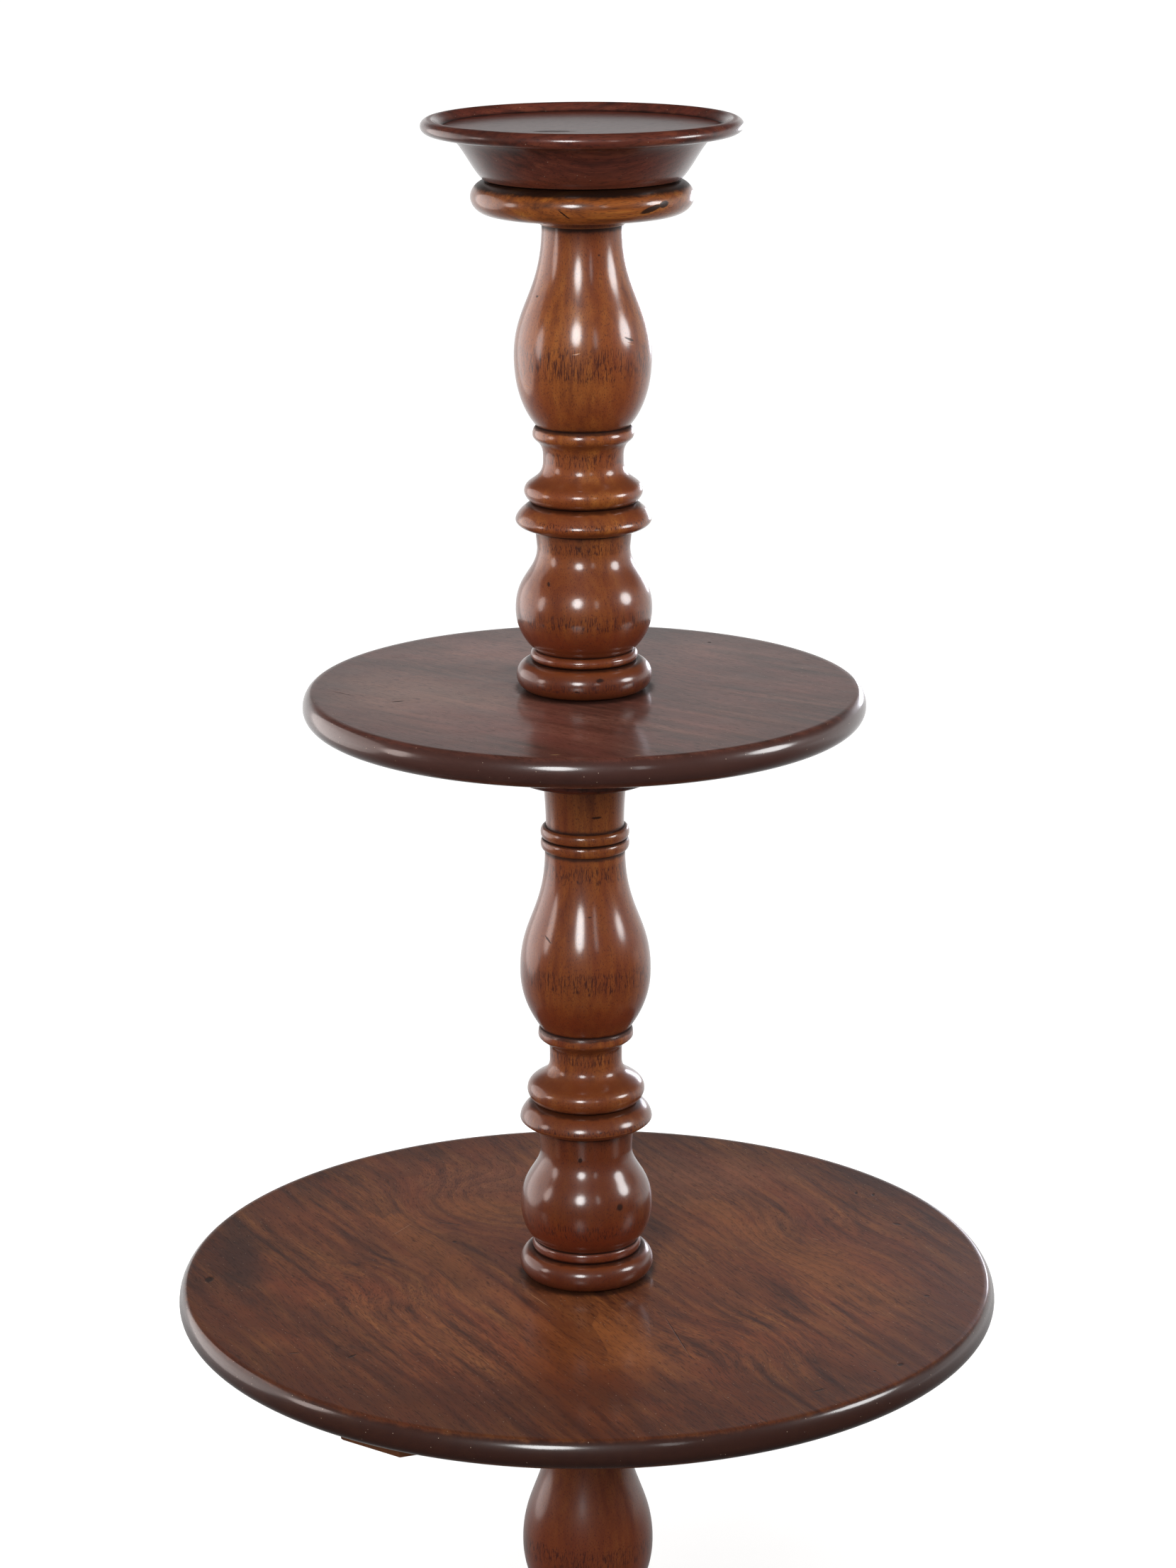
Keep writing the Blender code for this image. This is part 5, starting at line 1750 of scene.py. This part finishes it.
@dataclass(frozen=True)
class Tripod:
    """The three legs on the hub, and the forged plate that ties them from below."""

    leg: Leg = Leg()
    plate_thick: float = 3.0 * MM
    disc_radius: float = 30.0 * MM
    arm_width: float = 20.0 * MM
    arm_gap: float = 6.0 * MM
    hub_screw_radius: float = 18.0 * MM
    leg_screw_radius: float = 58.0 * MM
    plate_edge: float = 0.6 * MM
    screw_hole: float = 2.5
    screw_hole_reach: float = 8.0
    slot_turn: float = 60.0
    overrun: float = 2.0
    shoulder_under: float = 5.0
    shoulder_rise: float = 150.0
    bite: float = 16.0
    peg_radius: float = 11.5
    peg_height: float = 37.0
    cup_floor: float = 3.4
    stem_radius: float = 3.5
    stem_height: float = 6.9

    def make(self) -> None:
        """Makes the legs, the plate and its screws."""
        self.make_legs()
        self.make_plate()
        under = foot("spider_plate")
        model = Screw().model(self.plate_thick / MM + FIT_MM + self.bite, False)
        for index, angle in enumerate(self.leg.angles(), 1):
            for label, radius in (("hub", self.hub_screw_radius), ("leg", self.leg_screw_radius)):
                node = f"plate_screw_{label}_{index}"
                place = Matrix.Translation(polar(radius, angle, under))
                slotted = place @ Matrix.Rotation(angle + radius * self.slot_turn, 4, "Z")
                screw = copy_of(model, "turned_" + node, slotted)
                METAL_PLANK.stamp(screw)
                seat(screw, Metal.STEEL, "stand", "screw_steel", node)
        clear_away(model)

    def make_legs(self) -> None:
        """Saws one leg with its joints and copies it round the hub."""
        leg = self.leg
        low = foot("pedestal_column") / MM
        master = leg.saw()
        hub = leg.hub_radius / MM + FIT_MM
        work(master, rod("shoulder", hub, low - self.shoulder_under, self.shoulder_rise, 96), Joinery.CUT)
        work(master, leg.dovetail(0.0, 0.0, 0.0), Joinery.GLUE)
        spot = Vector((leg.caster_radius, 0, 0))
        peg_low = foot("caster_cup_1") / MM + self.cup_floor + FIT_MM
        work(master, rod("peg", self.peg_radius, peg_low, self.peg_height, 32, spot), Joinery.GLUE)
        hole = rod("hole", self.stem_radius, peg_low - self.overrun, self.stem_height, 24, spot)
        work(master, hole, Joinery.CUT)
        for index, angle in enumerate(leg.angles(), 1):
            about = Matrix.Rotation(angle, 4, "Z")
            piece = copy_of(master, f"carved_leg_{index}", about)
            smooth(piece)
            slope, across = (about.to_3x3() @ Vector(way) for way in ((0.80, 0, -0.60), (0, 1, 0)))
            Plank(slope, across, (0.05 + 0.13 * index, 0.07, 9.0 + index)).stamp(piece)
            seat(piece, Timber.COLUMN, "stand", "column_wood", f"leg_{index}")
        clear_away(master)

    def make_plate(self) -> None:
        """Forges the three-armed plate: a disc with arms whose ends are round."""
        low = foot("spider_plate")
        half = self.arm_width / 2
        tip = self.leg.hub_radius + self.leg.seat - self.arm_gap - half
        spread = asin(half / self.disc_radius)
        root = self.disc_radius * cos(spread)
        gap = 2 * pi / self.leg.count - 2 * spread
        corners: list[Vector] = []
        for angle in self.leg.angles():
            arm = [(root, -half), (tip, -half)]
            arm += [(tip + half * sin(pi * k / 14), -half * cos(pi * k / 14)) for k in range(1, 14)]
            arm += [(tip, half), (root, half)]
            corners += [Matrix.Rotation(angle, 3, "Z") @ Vector((x, y, low)) for x, y in arm]
            corners += [polar(self.disc_radius, angle + spread + gap * k / 10, low) for k in range(1, 10)]
        plate = plane_up("forged_spider_plate", corners, UP * self.plate_thick)
        ease_edges(plate, self.plate_edge, 3, lambda place: place.z < low + MM / 10)
        for angle in self.leg.angles():
            for radius in (self.hub_screw_radius, self.leg_screw_radius):
                place = polar(radius, angle, low)
                hole = rod("hole", self.screw_hole, -self.overrun, self.screw_hole_reach, 24, place)
                work(plate, hole, Joinery.CUT)
        smooth(plate)
        METAL_PLANK.stamp(plate)
        seat(plate, Metal.IRON, "stand", "iron", "spider_plate")


@dataclass(frozen=True)
class Caster:
    """A swivelling brass caster: cup, horn with its stem, axle and wheel."""

    trail: float = 12.0 * MM
    wheel_width: float = 13.0
    tread_round: float = 2.2
    cheek: float = 2.6 * MM
    cheek_gap: float = 0.7 * MM
    eye_radius: float = 6.0 * MM
    crown_radius: float = 9.2 * MM
    crown_thick: float = 3.4 * MM
    crown_edge: float = 0.8 * MM
    bore_reach: float = 20.0
    overlap: float = 0.1 * MM
    stem_radius: float = 3.2
    stem_rise: float = 8.0
    axle_radius: float = 2.2
    axle_head: float = 3.6
    head_rise: float = 1.4
    cup_bore: float = 3.5
    cup_members: tuple[Member, ...] = (
        Step(12.6), Step(13.6, 0.5), Step(14.0, 1.4), Step(14.0, 6.1), Bead(14.7, 14.0, 1.8, steps=10),
        Step(14.0, 12.1), Bead(16.8, 14.0, 5.0, steps=14), Step(11.8), Step(11.8, -23.5), Step(3.5),
    )

    def make(self) -> None:
        """Casts and turns one caster and copies it under each leg."""
        leg = Leg()
        start = (self.cup_bore, foot("caster_cup_1") / MM)
        cup = turn_on_lathe("cup", drawn(start, self.cup_members), 64)
        kinds = (
            ("cup", "turned", cup, Metal.BRASS, "brass", "stand"),
            ("horn", "cast", self.horn(), Metal.BRASS, "brass", "caster_{}"),
            ("axle", "turned", self.axle(), Metal.STEEL, "screw_steel", "caster_{}"),
            ("wheel", "turned", self.wheel(), Metal.BRASS, "brass", "wheel_{}"),
        )
        for index, angle in enumerate(leg.angles(), 1):
            toe = Matrix.Translation(polar(leg.caster_radius, angle)) @ Matrix.Rotation(angle, 4, "Z")
            for label, verb, master, metal, slot, body in kinds:
                node = f"caster_{label}_{index}"
                piece = copy_of(master, f"{verb}_{node}", toe)
                smooth(piece)
                METAL_PLANK.stamp(piece)
                seat(piece, metal, body.format(index), slot, node)
        clear_away(*(kind[2] for kind in kinds))

    def axle_z(self) -> float:
        """The height of the axle, which is also the wheel's radius."""
        low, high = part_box("caster_wheel_1")
        return (low.z + high.z) / 2

    def lay(self, obj: Object) -> Object:
        """Lays a turned piece along +Y and moves it to the axle.

        Args:
            obj: the piece.

        Returns:
            The same piece.
        """
        hold(obj)
        place = Matrix.Translation((self.trail, 0, self.axle_z()))
        obj.matrix_world = place @ Matrix.Rotation(-pi / 2, 4, "X")
        bpy.ops.object.transform_apply(location=True, rotation=True, scale=True)
        return obj

    def wheel(self) -> Object:
        """Turns the wheel: a crowned tread, a groove on each face and a small hub.

        Returns:
            The wheel.
        """
        radius, bend = self.axle_z() / MM, self.tread_round
        bore, face = self.axle_radius + FIT_MM, self.axle_z() / MM - 1.8
        members = (
            Step(5.0), Step(5.4, 0.7), Step(9.6, 0.0), Step(10.2, -0.7), Step(face),
            Curve(radius, bend, (0.6, 0.0), (1.0, 0.5), 8), Step(radius, self.wheel_width - 2 * bend),
            Curve(face, bend, (0.0, 0.5), (0.4, 1.0), 8), Step(10.2), Step(9.6, -0.7), Step(5.4),
            Step(5.0, 0.7), Step(bore),
        )
        return self.lay(turn_on_lathe("wheel", drawn((bore, -self.wheel_width / 2), members), 72))

    def axle(self) -> Object:
        """Turns the axle with its two riveted heads.

        Returns:
            The axle.
        """
        reach = self.wheel_width / 2 + (self.cheek_gap + self.cheek) / MM + FIT_MM
        members = (
            Curve(self.axle_head, self.head_rise, (0.6, 0.0), (1.0, 0.5), 6),
            Step(self.axle_radius), Step(self.axle_radius, 2 * reach),
            Step(self.axle_head), Curve(0.0, self.head_rise, (0.0, 0.5), (0.4, 1.0), 6),
        )
        return self.lay(turn_on_lathe("axle", drawn((0.0, -reach - self.head_rise), members), 28))

    def horn(self) -> Object:
        """Casts the horn: a crown plate, two cheeks down to the axle, and the stem.

        Returns:
            The horn.
        """
        cup_low = foot("caster_cup_1")
        top = cup_low - FIT_MM * MM
        under = top - self.crown_thick
        inner = self.wheel_width * MM / 2 + self.cheek_gap
        outer, reach, drop = inner + self.cheek, self.crown_radius, self.axle_z()
        horn = plane_up("horn", rectangle(reach, outer, under), UP * self.crown_thick)
        ease_edges(horn, self.crown_edge, 3, lambda place: place.z > top - MM / 10)
        eye = [polar(self.eye_radius, pi + pi * k / 14) for k in range(15)]
        line = [(-reach, top - self.overlap), (-reach, under)]
        line += [(self.trail + point.x, drop + point.y) for point in eye]
        line += [(reach, top - self.crown_thick / 2), (reach, top - self.overlap)]
        for y in (-outer, inner):
            cheek = plane_up("cheek", [(x, y, z) for x, z in line], Vector((0, self.cheek, 0)))
            work(horn, cheek, Joinery.GLUE)
        stem_z = (under + self.crown_thick / 2) / MM
        stem = rod("stem", self.stem_radius, stem_z, cup_low / MM + self.stem_rise - stem_z, 32)
        work(horn, stem, Joinery.GLUE)
        bore = rod("eye", self.axle_radius + FIT_MM, -self.bore_reach, 2 * self.bore_reach, 28)
        work(horn, self.lay(bore), Joinery.CUT)
        return horn


# The studio


@dataclass(frozen=True)
class Softbox:
    """An elliptical lamp that faces the column, by its direction from the camera's side and its height."""

    name: str
    azimuth: float
    distance: float
    height: float
    width: float
    tall: float
    radiance: float
    tint: str = "ffffff"
    mirrored: bool = True
    aim_z: float = 1.15

    def hang(self) -> None:
        """Hangs the lamp. Its power follows from its radiance and size."""
        data = bpy.data.lights.new(self.name, "AREA")
        data.shape = "ELLIPSE"
        data.size, data.size_y = self.width, self.tall
        data.energy = self.radiance * pi * self.width * self.tall * pi / 4
        data.color = linear(self.tint)[:3]
        lamp = bpy.data.objects.new(self.name, data)
        bpy.context.scene.collection.objects.link(lamp)
        turn = radians(self.azimuth)
        lamp.location = (self.distance * sin(turn), -self.distance * cos(turn), self.height)
        aim = Vector((0, 0, self.aim_z)) - lamp.location
        lamp.rotation_euler = aim.to_track_quat("-Z", "Y").to_euler()
        lamp.visible_camera = False
        lamp.visible_glossy = self.mirrored
        LOG.info("%s hangs at %s", self.name, tuple(round(value, 2) for value in lamp.location))


@dataclass(frozen=True)
class Studio:
    """The camera, the lamps, the white surroundings and the pale floor."""

    picture_height: float = 2212.0
    focal: float = 5583.27
    distance: float = 2.768
    height: float = 1.7087
    pitch: float = radians(15.484)
    yaw: float = atan(4.8 / 5583.27)
    roll: float = radians(0.23)
    sensor: float = 36.0
    ambient: float = 0.22
    room_front: float = 0.06
    room_high: float = 0.03
    floor_radius: float = 45.0
    softboxes: tuple[Softbox, ...] = (
        Softbox("softbox_front", -11.5, 4.60, 2.95, 1.35, 1.80, 24.0),
        Softbox("softbox_top", -10.0, 1.20, 3.60, 1.80, 1.40, 3.0, mirrored=False),
        Softbox("softbox_right", 80.0, 2.40, 1.84, 0.90, 0.90, 17.0),
        Softbox("softbox_small", 22.0, 3.00, 2.10, 0.30, 1.00, 4.0),
        Softbox("panel_left", -112.0, 2.60, 1.35, 2.80, 2.60, 1.8, "ffefea", aim_z=1.35),
        Softbox("softbox_left", -78.0, 2.60, 1.52, 0.60, 1.10, 7.0, "ffeee8"),
        Softbox("rim_right", 156.0, 2.80, 1.15, 0.90, 0.60, 8.0, "f3f2ff"),
    )

    def set_camera(self) -> None:
        """Stands the camera where the photograph was taken from."""
        data = bpy.data.cameras.new("camera")
        data.sensor_width = self.sensor
        data.lens = self.sensor * self.focal / self.picture_height
        data.clip_start, data.clip_end = 0.05, 200.0
        camera = bpy.data.objects.new("camera", data)
        bpy.context.scene.collection.objects.link(camera)
        turn = Matrix.Rotation(-self.yaw, 4, "Z") @ Matrix.Rotation(pi / 2 - self.pitch, 4, "X")
        turn = turn @ Matrix.Rotation(-self.roll, 4, "Z")
        camera.matrix_world = Matrix.Translation((0, -self.distance, self.height)) @ turn
        bpy.context.scene.camera = camera

    def set_world(self) -> None:
        """White all round for the eye; the mirror sees a white sweep low behind the piece, and a dim room."""
        world = bpy.data.worlds.new("studio")
        bpy.context.scene.world = world
        world.use_nodes = True
        nodes = Nodes(world.node_tree)
        path = nodes.add("LightPath").outputs
        seen = nodes.math("MAXIMUM", path["Is Camera Ray"], path["Is Transmission Ray"])
        heading = nodes.split(nodes.add("TexCoord").outputs["Generated"])
        sweep = ((8, grey(0.95)), (14, (0.60, 0.59, 0.59, 1)), (19, grey(0.14)), (28, grey(self.room_high)))
        rising = nodes.ramp(heading["Z"], *((sin(radians(climb)), colour) for climb, colour in sweep))
        behind = nodes.span(heading["Y"], -0.15, 0.55, shape="SMOOTHSTEP")
        room = nodes.mix(behind, grey(self.room_front), rising)
        colour = nodes.mix(path["Is Glossy Ray"], grey(self.ambient), room)
        colour = nodes.mix(seen, colour, grey(1.0))
        nodes.add("OutputWorld", {"Surface": nodes.add("Background", {"Color": colour, "Strength": 1.0})})

    def lay_floor(self) -> None:
        """Lays the pale floor, which keeps the piece's shadow and is white farther off."""
        bpy.ops.object.select_all(action="DESELECT")
        below_wheels = (0, 0, -0.2 * MM)
        bpy.ops.mesh.primitive_circle_add(
            vertices=96, radius=self.floor_radius, fill_type="TRIFAN", location=below_wheels
        )
        floor = bpy.context.active_object
        floor.name = floor.data.name = "studio_floor"
        bpy.ops.object.transform_apply(location=True, rotation=False, scale=False)
        floor.data.materials.append(self.paper())

    def paper(self) -> Material:
        """The floor's matt paper, which the polish mirrors as the sweep and which is clear from below.

        Returns:
            The material.
        """
        # Matt paper shows no reflection: the eye gets only the soft shadow, which fades to white farther off
        finish = Finish("matt_pale_paper")
        path = finish.add("LightPath").outputs
        grain = finish.noise(finish.place, 1 / 9, 3.0)
        tone = finish.ramp(grain, (0.3, linear("9a9997")), (0.7, linear("9e9d9b")))
        lift = finish.math("MAXIMUM", path["Is Camera Ray"], path["Is Transmission Ray"])
        away = finish.span(finish.vector("LENGTH", finish.place), 0.5, 1.5, foot=0.70)
        glow = finish.add("Emission", {"Color": grey(1.0), "Strength": finish.math("MULTIPLY", lift, away)})
        plain = finish.add("AddShader", {0: finish.add("BsdfDiffuse", {"Color": tone}), 1: glow})
        sweep = finish.span(finish.split(finish.place)["Y"], -0.1, 2.4, foot=self.room_front)
        mirrored = finish.add("Emission", {"Color": grey(1.0), "Strength": sweep})
        mix = finish.add("MixShader", {0: path["Is Glossy Ray"], 1: plain, 2: mirrored})
        back = finish.add("NewGeometry").outputs["Backfacing"]
        below = finish.math("MULTIPLY", path["Is Camera Ray"], back)
        mix = finish.add("MixShader", {0: below, 1: mix, 2: finish.add("BsdfTransparent")})
        finish.add("OutputMaterial", {"Surface": mix})
        return finish.material

    def build(self) -> None:
        """Sets up camera, world, lamps and floor, and the plain view transform."""
        self.set_camera()
        self.set_world()
        self.lay_floor()
        for softbox in self.softboxes:
            softbox.hang()
        bpy.context.scene.view_settings.view_transform = "Standard"


def main() -> None:
    """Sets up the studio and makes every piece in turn."""
    logging.basicConfig(level=logging.INFO, format="%(name)s: %(message)s")
    lower_tier = Tier("lower_tier", polar(1.0, radians(-62)), Timber.TIER, (0.05, -0.42, 0.3), 16.0)
    middle_tier = Tier("middle_tier", polar(1.0, radians(-38)), Timber.MIDDLE, (0.08, -0.90, 1.7), 10.0)
    Studio().build()
    for assembly in (
        UPPER_SECTION, MIDDLE_SECTION, Pedestal(), Capital(), Dish(),
        lower_tier, middle_tier, Battens(), Tripod(), Caster(),
    ):
        assembly.make()


if __name__ == "__main__":
    main()
